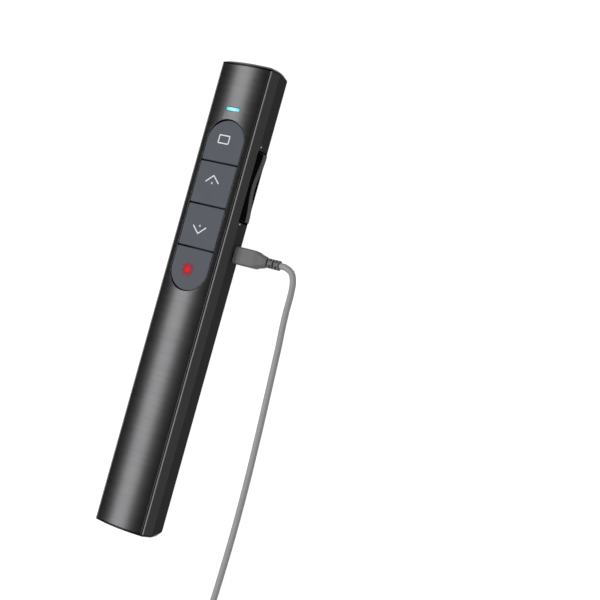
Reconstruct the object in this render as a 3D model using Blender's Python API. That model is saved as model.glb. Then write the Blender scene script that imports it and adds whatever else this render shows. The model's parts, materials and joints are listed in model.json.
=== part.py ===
"""Builds a slim hand-held presenter with a laser pointer, its charging lead plugged into its side.

The keys face +Z, the laser end faces +Y, and the rocker and the charging socket face +X. The origin lies on
the flat land of the back, under the middle of the case. Every length is in metres.
"""

import math

import bmesh
import bpy
import numpy as np

# Gaps and cutting allowance
GAP = 0.0003
CUT_OVERRUN = 0.0010
JOIN_OVERLAP = 0.0002

# Case section, seen from the end; the case's overall size follows from what it holds
CREASE_INSET = 0.00105
ARCH_RISE = 0.0016
SIDE_TOP_DROP = 0.0035
SIDE_FOOT_Z = 0.0032
CHIN_INSET = 0.0012
CHIN_Z = 0.00115
LAND_WIDTH = 0.0080
CASE_WALL = 0.0015
RIM_WIDTH = 0.0004
LEDGE_DROP = 0.0014
COVER_THICKNESS = 0.0013
SKIRT_THICKNESS = 0.0008
ARCH_SEGMENTS = 28
CHIN_SEGMENTS = 5

# End bezels and end plates
BEZEL_INSET = 0.0013
BEZEL_CHAMFER = 0.0011
BEZEL_FLANGE = 0.0015
BEZEL_LIP = 0.0004
SPIGOT_LENGTH = 0.0029
SPIGOT_WALL = 0.0011
SPIGOT_ROOF = 0.0006
END_PLATE_THICKNESS = 0.00065
END_PLATE_RECESS = 0.00005

# Key strip
KEY_NAMES = ("key_laser", "key_page_down", "key_page_up", "key_screen")
KEY_MARGIN = 0.0025
KEY_PITCH = 0.0138
KEY_SPACING = 0.00045
KEY_STACK_HEIGHT = 0.0042
KEY_TRAVEL = 0.0004
KEY_EDGE_BEVEL = 0.0002
KEY_FLANGE_REACH = 0.0007
KEY_FLANGE_THICKNESS = 0.0006
KEY_FLANGE_INSET = 0.0002
KEY_ARC_SEGMENTS = 18

# Main board and its switches
BOARD_MARGIN = 0.0033
BOARD_THICKNESS = 0.0010
BOARD_TOP_Z = 0.0075
BOARD_HEAD_REACH = 0.00115
CHIP_BAY_LENGTH = 0.013325
SWITCH_SIZE = 0.0044
SWITCH_HEIGHT = 0.0015
SWITCH_FLOOR = 0.0002
PLUNGER_RADIUS = 0.0009
CONTROL_CHIP_SIZE = 0.0050
CONTROL_CHIP_HEIGHT = 0.0009
CONTROL_CHIP_SIDE_INSET = 0.0036
CONTROL_CHIP_TAIL_INSET = 0.0085
RADIO_CHIP_SIZE = 0.0036
RADIO_CHIP_HEIGHT = 0.0008
RADIO_CHIP_SIDE_INSET = 0.0034
RADIO_CHIP_TAIL_INSET = 0.0080
CRYSTAL_LENGTH = 0.0032
CRYSTAL_WIDTH = 0.0016
CRYSTAL_HEIGHT = 0.0007
CRYSTAL_SIDE_INSET = 0.0034
CRYSTAL_TAIL_INSET = 0.0128

# Board screws and the posts that take them
SCREW_SIDE_INSET = 0.0016
SCREW_TAIL_INSET = 0.0026
SCREW_HEAD_INSET = 0.0052
SCREW_RADIUS = 0.00055
SCREW_HEAD_RADIUS = 0.0012
SCREW_HEAD_HEIGHT = 0.0009
SCREW_DEPTH = 0.0036
POST_RADIUS = 0.0018
POST_PILOT_DEPTH = 0.0042

# Volume rocker
ROCKER_OFFSET = 0.0090
ROCKER_LENGTH = 0.0224
ROCKER_SLOPE_HEIGHT = 0.0020
ROCKER_DEPTH = 0.0013
ROCKER_RISE = 0.00045
ROCKER_FOOT_BEVEL = 0.00025
ROCKER_TOP_SLOPE = 0.0009
ROCKER_END_ROUND = 0.0012
ROCKER_END_DROP = 0.0008
ROCKER_RINGS = 30
ROCKER_END_CLEARANCE = 0.0004
RECESS_CORNER = 0.0005
ROCKER_PIN_DEPTH = 0.00185
ROCKER_PIN_RADIUS = 0.0004
PIN_CLEARANCE = 0.00025
PIN_SEAT_DEPTH = 0.0004
EAR_THICKNESS = 0.0007
EAR_WIDTH = 0.0026
EAR_WALL = 0.0002
EAR_GAP = 0.0006
LUG_WIDTH = 0.0028
LUG_MARGIN = 0.0004
NUB_OFFSET_Y = 0.0060
NUB_SIZE = 0.0014
NUB_LENGTH = 0.0008
ROCKER_SWITCH_DEPTH = 0.0027
ROCKER_SWITCH_WIDTH = 0.0035
ROCKER_SWITCH_HEIGHT = 0.0016
ROCKER_SWITCH_FLOOR = 0.0010
ROCKER_PLUNGER_RADIUS = 0.0005
ROCKER_PLUNGER_CLEARANCE = 0.00025

# Status light
LIGHT_TO_BARREL = 0.0028
LIGHT_TO_KEYS = 0.003575
LIGHT_LENGTH = 0.0049
LIGHT_WIDTH = 0.0011
LIGHT_CLEARANCE = 0.00025
LIGHT_RECESS = 0.00008
LIGHT_FLANGE_LENGTH = 0.0064
LIGHT_FLANGE_WIDTH = 0.0024
LIGHT_FLANGE_THICKNESS = 0.0006
LIGHT_LEG_LENGTH = 0.0020
LIGHT_LEG_WIDTH = 0.0010
LED_LENGTH = 0.0016
LED_WIDTH = 0.0008
LED_HEIGHT = 0.0006

# Laser module
LASER_HOLE_RADIUS = 0.0013
WINDOW_RADIUS = 0.0025
WINDOW_THICKNESS = 0.0004
BARREL_CLEARANCE = 0.0004
BARREL_WALL = 0.0006
BARREL_LIP_REACH = 0.0006
BARREL_LIP = 0.0007
BARREL_LENGTH = 0.01085
LENS_THICKNESS = 0.0016
LENS_CROWN = 0.0003
DIODE_FLANGE_THICKNESS = 0.0012
DIODE_CAN_RADIUS = 0.0016
DIODE_CAN_LENGTH = 0.0026
DIODE_INSET = 0.0003
DRIVER_THICKNESS = 0.0009
SADDLE_WIDTH = 0.0060
SADDLE_LENGTH = 0.0040
SADDLE_OFFSET = 0.00355
LASER_LEAD_RADIUS = 0.00035
LASER_LEAD_X = 0.0020
LASER_LEAD_REACH = 0.0039
LASER_LEAD_HUMP = 0.0004

# Battery
BATTERY_LENGTH = 0.03825
BATTERY_WIDTH = 0.0120
BATTERY_HEIGHT = 0.0055
BATTERY_EDGE = 0.0008
BATTERY_HEAD_ROOM = 0.0030
PAD_MARGIN = 0.0022
PAD_WIDTH = 0.0100
PAD_THICKNESS = 0.0008
BATTERY_LEAD_RADIUS = 0.0004
BATTERY_LEAD_X = 0.0025
BATTERY_LEAD_REACH = 0.0024
STOP_RIB_HEIGHT = 0.0045
STOP_RIB_THICKNESS = 0.0008
STOP_RIB_WIDTH = 0.0120

# Wireless receiver kept in the tail
RECEIVER_SIDE_RIM = 0.0007
RECEIVER_FLAT_RIM = 0.00055
RECEIVER_TO_SIDE = 0.0036
RECEIVER_CORNER = 0.0008
RECEIVER_BODY_LENGTH = 0.0070
USB_SHELL_WIDTH = 0.0120
USB_SHELL_HEIGHT = 0.0045
USB_SHELL_WALL = 0.0004
USB_SHELL_CORNER = 0.0006
USB_TONGUE_MARGIN = 0.0004
USB_TONGUE_HEIGHT = 0.0018
RECEIVER_SHELL_LENGTH = 0.0120
TONGUE_INSET = 0.0008
BAY_WALL = 0.0007
BAY_RIB_THICKNESS = 0.0012
BAY_RIB_INSET = 0.0030

# Charging socket and plug
PLUG_OFFSET = 0.0125
PLUG_Z = 0.0047
TIP_RADIUS = 0.001175
TIP_LENGTH = 0.0060
TIP_BORE_RADIUS = 0.00045
TIP_BORE_DEPTH = 0.0040
SOCKET_LENGTH = 0.0050
SOCKET_SETBACK = 0.0009
SOCKET_WIDTH = 0.0050
SOCKET_HEIGHT = 0.0042
SOCKET_BORE_DEPTH = 0.0062
NOSE_RADIUS = 0.0020
NOSE_RECESS = 0.0004
PLUG_WIDTH = 0.0055
PLUG_THICKNESS = 0.0046
PLUG_CORNER = 0.0007
PLUG_FRONT_BEVEL = 0.00015
PLUG_BLOCK_LENGTH = 0.0073
PLUG_TAPER_LENGTH = 0.0041
RELIEF_RADIUS = 0.00135
RELIEF_RIB_RADIUS = 0.00175
RELIEF_RIB_COUNT = 4
RELIEF_RIB_PITCH = 0.0011
RELIEF_RIB_WIDTH = 0.0006

# Charging lead: the route's points are chosen by hand
CORD_DIAMETER = 0.0020
CORD_SPACING = 0.0044
COIL_SPACING_GAP = 0.0005
COIL_LAYER_GAP = 0.00045
COIL_CENTRE_X = 0.0179
COIL_CENTRE_Y = -0.1128
COIL_MEAN_RADIUS = 0.0115
COIL_TURNS = 4.75
COIL_LOOP_POINTS = 24
COIL_CLIMB_TURNS = 0.5
CORD_ROUTE = (
    (0.0282, 0.0162, 0.0047),
    (0.0309, 0.0150, 0.0046),
    (0.0321, 0.0121, 0.0042),
    (0.0319, 0.0078, 0.0031),
    (0.0312, 0.0028, 0.0018),
    (0.0311, -0.0025, 0.0011),
    (0.0315, -0.0085, 0.0010),
    (0.0321, -0.0200, 0.0010),
    (0.0328, -0.0340, 0.0010),
    (0.0334, -0.0500, 0.0010),
    (0.0336, -0.0660, 0.0010),
    (0.0333, -0.0820, 0.0010),
    (0.0327, -0.0960, 0.0010),
    (0.0324, -0.1040, 0.0013),
)
LEAD_OUT_ROUTE = (
    (0.0280, -0.0983, 0.0042),
    (0.0330, -0.0986, 0.0041),
    (0.0372, -0.0996, 0.0031),
    (0.0410, -0.1014, 0.0017),
    (0.0438, -0.1040, 0.0011),
    (0.0454, -0.1074, 0.0018),
    (0.0460, -0.1106, 0.0031),
)

# Tie round the coil
TIE_WIDTH = 0.0050
TIE_THICKNESS = 0.0004
TIE_FLOOR_GAP = 0.00002

# Plug on the far end of the lead
USB_PLUG_X = 0.0460
USB_PLUG_Y = -0.1145
USB_PLUG_WIDTH = 0.0156
USB_PLUG_THICKNESS = 0.0076
USB_PLUG_CORNER = 0.0014
USB_PLUG_LENGTH = 0.0160
USB_RELIEF_LENGTH = 0.0050
USB_RELIEF_RADIUS = 0.0019
USB_PLUG_BEVEL = 0.0006
USB_PLUG_SHELL_LENGTH = 0.0180

CORNER_STEPS = 4
ROUND_SEGMENTS = 20
FINE_SEGMENTS = 28
SHARP_ANGLE = math.radians(35)

# Widths: the receiver in the tail sets the case's, and the case sets the rest
RECEIVER_WIDTH = USB_SHELL_WIDTH + 2 * RECEIVER_SIDE_RIM
RECEIVER_HEIGHT = USB_SHELL_HEIGHT + 2 * RECEIVER_FLAT_RIM
CASE_WIDTH = RECEIVER_WIDTH + 2 * RECEIVER_TO_SIDE
CREASE_WIDTH = CASE_WIDTH - 2 * CREASE_INSET
KEY_WIDTH = CREASE_WIDTH - 2 * KEY_MARGIN
BOARD_WIDTH = CASE_WIDTH - 2 * BOARD_MARGIN
SIDE_X = CASE_WIDTH / 2
COVER_HALF = CREASE_WIDTH / 2 - RIM_WIDTH - GAP
SCREW_X = BOARD_WIDTH / 2 - SCREW_SIDE_INSET
ROCKER_BACK_X = SIDE_X - ROCKER_DEPTH
ROCKER_PIN_X = SIDE_X - ROCKER_PIN_DEPTH

# Heights: the board and what stands on it set the case's
CREASE_Z = BOARD_TOP_Z + KEY_STACK_HEIGHT
CASE_HEIGHT = CREASE_Z + ARCH_RISE
LEDGE_Z = CREASE_Z - LEDGE_DROP
SIDE_TOP_Z = CREASE_Z - SIDE_TOP_DROP
BOARD_FOOT_Z = BOARD_TOP_Z - BOARD_THICKNESS
ON_BOARD_Z = BOARD_TOP_Z + GAP
UNDER_BOARD_Z = BOARD_FOOT_Z - GAP
ROCKER_FOOT_Z = SIDE_FOOT_Z + GAP
ROCKER_TOP_Z = SIDE_TOP_Z
ROCKER_FACE_TOP_Z = ROCKER_TOP_Z - ROCKER_SLOPE_HEIGHT
BORE_FLOOR_Z = CASE_WALL + GAP + SPIGOT_WALL
BORE_ROOF_Z = LEDGE_Z - SPIGOT_ROOF
LASER_Z = (BORE_FLOOR_Z + BORE_ROOF_Z) / 2
RECEIVER_Z = LASER_Z
BARREL_RADIUS = (BORE_ROOF_Z - BORE_FLOOR_Z) / 2 - BARREL_CLEARANCE
BARREL_BORE_RADIUS = BARREL_RADIUS - BARREL_WALL
BARREL_MOUTH_RADIUS = BARREL_BORE_RADIUS - BARREL_LIP_REACH

# Places along the case: what lies between its ends adds up to its length
KEY_ROW_LENGTH = len(KEY_NAMES) * KEY_PITCH - KEY_SPACING
SHELF_DEPTH = END_PLATE_RECESS + END_PLATE_THICKNESS + GAP
BARREL_DEPTH = SHELF_DEPTH + WINDOW_THICKNESS + GAP + BARREL_LENGTH
BAY_DEPTH = END_PLATE_RECESS + RECEIVER_BODY_LENGTH + GAP + RECEIVER_SHELL_LENGTH + GAP + BAY_WALL
BATTERY_DEPTH = BAY_DEPTH + GAP + STOP_RIB_THICKNESS + GAP
HEAD_LENGTH = BARREL_DEPTH + LIGHT_TO_BARREL + LIGHT_TO_KEYS
TAIL_LENGTH = CHIP_BAY_LENGTH + BATTERY_HEAD_ROOM + BATTERY_LENGTH + BATTERY_DEPTH
CASE_LENGTH = HEAD_LENGTH + KEY_ROW_LENGTH + TAIL_LENGTH
CASE_END_Y = CASE_LENGTH / 2
SHELL_END_Y = CASE_END_Y - BEZEL_FLANGE - GAP
SHELF_Y = CASE_END_Y - SHELF_DEPTH
BARREL_BACK_Y = CASE_END_Y - BARREL_DEPTH
BARREL_FRONT_Y = BARREL_BACK_Y + BARREL_LENGTH
SADDLE_Y = BARREL_BACK_Y + SADDLE_OFFSET
LIGHT_Y = BARREL_BACK_Y - LIGHT_TO_BARREL
KEY_ROW_TAIL_Y = CASE_END_Y - HEAD_LENGTH - KEY_ROW_LENGTH
KEY_ROW_Y = KEY_ROW_TAIL_Y + KEY_ROW_LENGTH / 2
ROCKER_Y = KEY_ROW_Y + ROCKER_OFFSET
PLUG_Y = KEY_ROW_Y - PLUG_OFFSET
BOARD_HEAD_Y = LIGHT_Y + BOARD_HEAD_REACH
BOARD_TAIL_Y = KEY_ROW_TAIL_Y - CHIP_BAY_LENGTH
SCREW_HEAD_Y = BOARD_HEAD_Y - SCREW_HEAD_INSET
SCREW_TAIL_Y = BOARD_TAIL_Y + SCREW_TAIL_INSET
BATTERY_HEAD_Y = BOARD_TAIL_Y - BATTERY_HEAD_ROOM


def arch_z(x, depth=0.0):
    """Height of the cover's arch at x, or of the arch that lies depth below it."""
    half = CREASE_WIDTH / 2
    radius = (half**2 + ARCH_RISE**2) / (2 * ARCH_RISE)
    return CASE_HEIGHT - radius + math.sqrt((radius - depth) ** 2 - x**2)


KEY_TOP_Z = arch_z(KEY_WIDTH / 2)
KEY_FLANGE_HALF = KEY_WIDTH / 2 + KEY_FLANGE_REACH
KEY_FLANGE_TOP_Z = arch_z(KEY_FLANGE_HALF, COVER_THICKNESS) - GAP
KEY_FLANGE_FOOT_Z = KEY_FLANGE_TOP_Z - KEY_FLANGE_THICKNESS
COIL_FOOT_Z = TIE_FLOOR_GAP + TIE_THICKNESS + GAP + CORD_DIAMETER / 2
COIL_TOP_Z = COIL_FOOT_Z + CORD_DIAMETER + COIL_LAYER_GAP
COIL_STEP = CORD_DIAMETER + COIL_SPACING_GAP
COIL_SWING = COIL_STEP * COIL_TURNS / 4
PLUG_FRONT_X = SIDE_X + GAP
PLUG_END_X = PLUG_FRONT_X + PLUG_BLOCK_LENGTH + PLUG_TAPER_LENGTH + RELIEF_RIB_COUNT * RELIEF_RIB_PITCH


# Outlines


def arc(centre, radius, start, stop, segments):
    """Points along an arc, both ends included; angles in radians."""
    angles = np.linspace(start, stop, segments + 1)
    return [(centre[0] + radius * math.cos(a), centre[1] + radius * math.sin(a)) for a in angles]


def circle(centre, radius, segments=ROUND_SEGMENTS):
    """A closed ring of points."""
    return arc(centre, radius, 0.0, 2 * math.pi, segments)[:-1]


def rounded_rectangle(centre, half_u, half_v, radius, steps=CORNER_STEPS):
    """A rectangle with round corners, anticlockwise from its right side."""
    points = []
    for k, (side_u, side_v) in enumerate(((1, 1), (-1, 1), (-1, -1), (1, -1))):
        corner = (centre[0] + side_u * (half_u - radius), centre[1] + side_v * (half_v - radius))
        points += arc(corner, radius, k * math.pi / 2, (k + 1) * math.pi / 2, steps)
    return points


def inset(points, distance):
    """A convex anticlockwise outline, each side moved inwards by distance."""
    corners = [np.array(p) for p in points]
    lines = []
    for a, b in zip(corners, corners[1:] + corners[:1]):
        along = (b - a) / np.linalg.norm(b - a)
        lines.append((a + distance * np.array((-along[1], along[0])), along))
    moved = []
    for (p, d), (q, e) in zip(lines[-1:] + lines[:-1], lines):
        share = np.linalg.solve(np.array((d, -e)).T, q - p)[0]
        moved.append(tuple(p + share * d))
    return moved


def under(points, roof):
    """An outline held below a roof."""
    return [(u, min(v, roof)) for u, v in points]


def case_section():
    """The outside of the case seen from the tail, anticlockwise from the right crease."""
    half = CREASE_WIDTH / 2
    radius = (half**2 + ARCH_RISE**2) / (2 * ARCH_RISE)
    swing = math.asin(half / radius)
    middle = math.pi / 2
    crown = arc((0.0, CASE_HEIGHT - radius), radius, middle - swing, middle + swing, ARCH_SEGMENTS)
    chin_x = SIDE_X - CHIN_INSET
    run = chin_x - LAND_WIDTH / 2
    bend = (run**2 + CHIN_Z**2) / (2 * CHIN_Z)
    lean = math.asin(run / bend)
    left = arc((-LAND_WIDTH / 2, bend), bend, -middle - lean, -middle, CHIN_SEGMENTS)
    right = arc((LAND_WIDTH / 2, bend), bend, -middle, -middle + lean, CHIN_SEGMENTS)
    left_side = [(-SIDE_X, SIDE_TOP_Z), (-SIDE_X, SIDE_FOOT_Z)]
    right_side = [(SIDE_X, SIDE_FOOT_Z), (SIDE_X, SIDE_TOP_Z)]
    return crown + left_side + left + right + right_side


# Meshes


def at(axis, u, v, w):
    """A point w along an axis, with u and v on the other two in X, Y, Z order."""
    return {"X": (w, u, v), "Y": (u, w, v), "Z": (u, v, w)}[axis]


def material(name, colour, roughness, metallic=0.0):
    """A Principled material, made once for each name."""
    made = bpy.data.materials.get(name) or bpy.data.materials.new(name)
    made.use_nodes = True
    shader = made.node_tree.nodes["Principled BSDF"]
    shader.inputs["Base Color"].default_value = (*colour, 1.0)
    shader.inputs["Roughness"].default_value = roughness
    shader.inputs["Metallic"].default_value = metallic
    return made


def add_object(name, build, finish=None):
    """Adds an object from one or more bodies, its normals facing out."""
    bmesh.ops.recalc_face_normals(build, faces=build.faces)
    if build.calc_volume(signed=True) < 0:
        bmesh.ops.reverse_faces(build, faces=build.faces)
    mesh = bpy.data.meshes.new(name)
    build.to_mesh(mesh)
    build.free()
    mesh.shade_smooth()
    mesh.set_sharp_from_angle(angle=SHARP_ANGLE)
    made = bpy.data.objects.new(name, mesh)
    bpy.context.collection.objects.link(made)
    if finish:
        mesh.materials.append(finish)
    return made


def add_body(build, rings, closed=False):
    """Skins rings of equal count into one closed body; a closed one joins its last ring to its first."""
    rows = [[build.verts.new(p) for p in ring] for ring in rings]
    pairs = list(zip(rows, rows[1:]))
    if closed:
        pairs.append((rows[-1], rows[0]))
    for low, high in pairs:
        for a, b, c, d in zip(low, low[1:] + low[:1], high[1:] + high[:1], high):
            build.faces.new((a, b, c, d))
    if not closed:
        build.faces.new(rows[0])
        build.faces.new(rows[-1])


def loft(name, axis, stations, finish=None, closed=False):
    """An object skinned over (place, outline) stations along an axis."""
    build = bmesh.new()
    add_body(build, [[at(axis, u, v, w) for u, v in outline] for w, outline in stations], closed)
    return add_object(name, build, finish)


def prism(name, axis, outline, low, high, finish=None):
    """An outline extruded from low to high along an axis."""
    return loft(name, axis, ((low, outline), (high, outline)), finish)


def turned(name, axis, centre, profile, finish=None, closed=False, segments=ROUND_SEGMENTS):
    """A profile of (place, radius) turned about a line along an axis."""
    return loft(name, axis, [(w, circle(centre, r, segments)) for w, r in profile], finish, closed)


def boxes(name, corners, finish=None):
    """One object that holds a box for each (lowest, highest) pair of corners."""
    build = bmesh.new()
    for (x0, y0, z0), (x1, y1, z1) in corners:
        foot = [(x0, y0, z0), (x1, y0, z0), (x1, y1, z0), (x0, y1, z0)]
        add_body(build, (foot, [(x, y, z1) for x, y, _ in foot]))
    return add_object(name, build, finish)


def block(name, low, high, finish=None):
    """A plain box between two corners."""
    return boxes(name, [(low, high)], finish)


def work_with(target, tool, operation):
    """Cuts a tool out of a target, or joins it on, and hides the tool."""
    change = target.modifiers.new(tool.name, "BOOLEAN")
    change.operation = operation
    change.solver = "EXACT"
    change.object = tool
    tool.hide_render = True
    tool.display_type = "WIRE"


def cut(target, *tools):
    """Cuts each tool out of the target."""
    for tool in tools:
        work_with(target, tool, "DIFFERENCE")


def join(target, *tools):
    """Joins each tool to the target."""
    for tool in tools:
        work_with(target, tool, "UNION")


def smooth_path(points, spacing):
    """Points about spacing apart along a smooth curve through the given ones."""
    fixed = [np.array(p) for p in points]
    fixed = [2 * fixed[0] - fixed[1], *fixed, 2 * fixed[-1] - fixed[-2]]
    path = [fixed[1]]
    for before, start, end, after in zip(fixed, fixed[1:], fixed[2:], fixed[3:]):
        steps = max(1, round(np.linalg.norm(end - start) / spacing))
        for t in np.linspace(0, 1, steps + 1)[1:]:
            bend = 2 * before - 5 * start + 4 * end - after
            twist = 3 * start - before - 3 * end + after
            path.append(start + ((end - before) * t + bend * t**2 + twist * t**3) / 2)
    return [tuple(p) for p in path]


def tube(name, points, radius, sides_level, finish):
    """A round wire along the points, with flat ends."""
    curve = bpy.data.curves.new(name, "CURVE")
    curve.dimensions = "3D"
    curve.bevel_depth = radius
    curve.bevel_resolution = sides_level
    curve.render_resolution_u = 0
    curve.use_fill_caps = True
    line = curve.splines.new("POLY")
    line.points.add(len(points) - 1)
    for spot, point in zip(line.points, points):
        spot.co = (*point, 1.0)
    curve.materials.append(finish)
    made = bpy.data.objects.new(name, curve)
    bpy.context.collection.objects.link(made)
    return made


# Finishes, as linear colours


def finishes():
    """Every finish by name."""
    return {
        "cover": material("cover_dark_metal", (0.055, 0.055, 0.056), 0.34, 0.75),
        "case": material("case_satin_black", (0.030, 0.030, 0.031), 0.42, 0.2),
        "bezel": material("bezel_gloss_black", (0.006, 0.006, 0.006), 0.18),
        "plate": material("end_plate_grey", (0.050, 0.050, 0.052), 0.45),
        "key": material("key_slate", (0.105, 0.122, 0.138), 0.55),
        "rocker": material("rocker_black", (0.012, 0.012, 0.012), 0.30),
        "light": material("light_pipe_cyan", (0.30, 0.80, 0.90), 0.20),
        "clear": material("clear_window", (0.75, 0.75, 0.75), 0.05),
        "brass": material("barrel_brass", (0.60, 0.44, 0.16), 0.30, 1.0),
        "steel": material("plated_steel", (0.55, 0.55, 0.56), 0.28, 1.0),
        "board": material("board_green", (0.010, 0.110, 0.045), 0.45),
        "chip": material("chip_black", (0.015, 0.015, 0.016), 0.50),
        "white": material("white_plastic", (0.70, 0.70, 0.68), 0.45),
        "foil": material("battery_foil", (0.42, 0.43, 0.45), 0.35, 0.8),
        "foam": material("foam_grey", (0.10, 0.10, 0.11), 0.90),
        "red": material("wire_red", (0.45, 0.020, 0.015), 0.45),
        "black": material("wire_black", (0.015, 0.015, 0.015), 0.45),
        "plug": material("plug_grey", (0.155, 0.155, 0.157), 0.55),
        "cord": material("cord_grey", (0.300, 0.300, 0.303), 0.55),
    }


# Shells


def make_top_cover(finish):
    """The arched cover: its edges stand on the case's ledges, and the keys and light come through it."""
    inner = COVER_HALF - SKIRT_THICKNESS
    foot = LEDGE_Z + GAP
    xs = np.linspace(COVER_HALF, -COVER_HALF, ARCH_SEGMENTS + 1)
    top = [(x, arch_z(x)) for x in xs]
    roof = [(x, arch_z(x, COVER_THICKNESS)) for x in np.linspace(-inner, inner, ARCH_SEGMENTS + 1)]
    outline = [*top, (-COVER_HALF, foot), (-inner, foot), *roof, (inner, foot), (COVER_HALF, foot)]
    cover = prism("top_cover", "Y", outline, -SHELL_END_Y, SHELL_END_Y, finish)
    low, high = CREASE_Z - LEDGE_DROP - CUT_OVERRUN, CASE_HEIGHT + CUT_OVERRUN
    half_row = KEY_ROW_LENGTH / 2 + GAP
    radius = KEY_WIDTH / 2 + GAP
    strip = rounded_rectangle((0.0, KEY_ROW_Y), radius, half_row, radius, KEY_ARC_SEGMENTS // 2)
    strip = strip[: KEY_ARC_SEGMENTS + 1] + strip[KEY_ARC_SEGMENTS + 2 : -1]
    half_length = LIGHT_LENGTH / 2 + LIGHT_CLEARANCE
    half_width = LIGHT_WIDTH / 2 + LIGHT_CLEARANCE
    slot = rounded_rectangle((0.0, LIGHT_Y), half_length, half_width, LIGHT_CLEARANCE)
    cut(
        cover,
        prism("key_opening_cutter", "Z", strip, low, high),
        prism("light_slot_cutter", "Z", slot, low, high),
    )
    return cover


def case_wall_outline():
    """The tray's section: floor, sides, rims and the ledges that the cover stands on."""
    outer = case_section()[ARCH_SEGMENTS:] + case_section()[:1]
    inner = inset(case_section(), CASE_WALL)
    knee, shoulder = inner[-1], inner[0]
    share = (LEDGE_Z - knee[1]) / (shoulder[1] - knee[1])
    ledge_x = knee[0] + share * (shoulder[0] - knee[0])
    rim_x = CREASE_WIDTH / 2 - RIM_WIDTH
    rim_z = arch_z(rim_x)
    right = [(rim_x, rim_z), (rim_x, LEDGE_Z), (ledge_x, LEDGE_Z)]
    left = [(-x, z) for x, z in reversed(right)]
    return outer + right + inner[ARCH_SEGMENTS + 1 :][::-1] + left


def post_places():
    """Where the four board screws stand."""
    return [(x, y) for x in (-SCREW_X, SCREW_X) for y in (SCREW_TAIL_Y, SCREW_HEAD_Y)]


def make_case_fittings():
    """What stands on the tray's floor: stops, saddle and rocker ears, as tools to join on."""
    root = CASE_WALL - JOIN_OVERLAP
    stop_top = CASE_WALL + STOP_RIB_HEIGHT
    half = STOP_RIB_WIDTH / 2
    battery_tail = BATTERY_HEAD_Y - BATTERY_LENGTH
    stops = [
        ((-half, battery_tail - GAP - STOP_RIB_THICKNESS, root), (half, battery_tail - GAP, stop_top)),
        ((-half, BATTERY_HEAD_Y + GAP, root), (half, BATTERY_HEAD_Y + GAP + STOP_RIB_THICKNESS, stop_top)),
    ]
    bay_foot = RECEIVER_Z - USB_SHELL_HEIGHT / 2 - GAP - BAY_WALL - GAP
    bay_y = -CASE_END_Y + END_PLATE_RECESS + RECEIVER_BODY_LENGTH + BAY_RIB_INSET
    saddle_top = LASER_Z - BARREL_RADIUS - GAP
    rests = [
        ((-half, bay_y, root), (half, bay_y + BAY_RIB_THICKNESS, bay_foot)),
        (
            (-SADDLE_WIDTH / 2, SADDLE_Y - SADDLE_LENGTH / 2, root),
            (SADDLE_WIDTH / 2, SADDLE_Y + SADDLE_LENGTH / 2, saddle_top),
        ),
    ]
    ear_in = ROCKER_PIN_X - ROCKER_PIN_RADIUS - PIN_CLEARANCE - EAR_WALL
    ear_out = ROCKER_BACK_X + JOIN_OVERLAP
    y0, y1 = ROCKER_Y - EAR_WIDTH / 2, ROCKER_Y + EAR_WIDTH / 2
    low_top = ROCKER_FOOT_Z - EAR_GAP
    high_foot = ROCKER_TOP_Z + EAR_GAP
    ears = [
        ((ear_in, y0, low_top - EAR_THICKNESS - GAP), (ear_out, y1, low_top)),
        ((ear_in, y0, high_foot), (ear_out, y1, high_foot + EAR_THICKNESS)),
    ]
    return boxes("case_fittings", stops + rests + ears)


def make_bottom_case(finish):
    """The tray that carries everything, with the rocker's recess and the charging port in its right side."""
    case = prism("bottom_case", "Y", case_wall_outline(), -SHELL_END_Y, SHELL_END_Y, finish)
    middle_z = (ROCKER_FOOT_Z + ROCKER_TOP_Z) / 2
    half_z = (ROCKER_TOP_Z - ROCKER_FOOT_Z) / 2 + GAP
    half_y = ROCKER_LENGTH / 2 + ROCKER_END_CLEARANCE
    recess = rounded_rectangle((ROCKER_Y, middle_z), half_y, half_z, RECESS_CORNER)
    outside = SIDE_X + CUT_OVERRUN
    inside = SIDE_X - CASE_WALL - CUT_OVERRUN
    port = circle((PLUG_Y, PLUG_Z), NOSE_RADIUS + GAP)
    cut(
        case,
        prism("rocker_recess_cutter", "X", recess, inside, outside),
        prism("port_cutter", "X", port, inside, outside),
    )
    join(case, make_case_fittings())
    root = CASE_WALL - JOIN_OVERLAP
    for index, place in enumerate(post_places()):
        join(case, prism(f"post_{index}", "Z", circle(place, POST_RADIUS), root, UNDER_BOARD_Z))
        hole = circle(place, SCREW_RADIUS + GAP)
        foot = UNDER_BOARD_Z - POST_PILOT_DEPTH
        cut(case, prism(f"post_pilot_{index}", "Z", hole, foot, UNDER_BOARD_Z + CUT_OVERRUN))
    seat = circle((ROCKER_PIN_X, ROCKER_Y), ROCKER_PIN_RADIUS + PIN_CLEARANCE, FINE_SEGMENTS // 2)
    low_seat = ROCKER_FOOT_Z - EAR_GAP - PIN_SEAT_DEPTH - GAP
    high_seat = ROCKER_TOP_Z + EAR_GAP + PIN_SEAT_DEPTH + GAP / 2
    cut(case, prism("pin_seat_cutter", "Z", seat, low_seat, high_seat))
    return case


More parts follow.
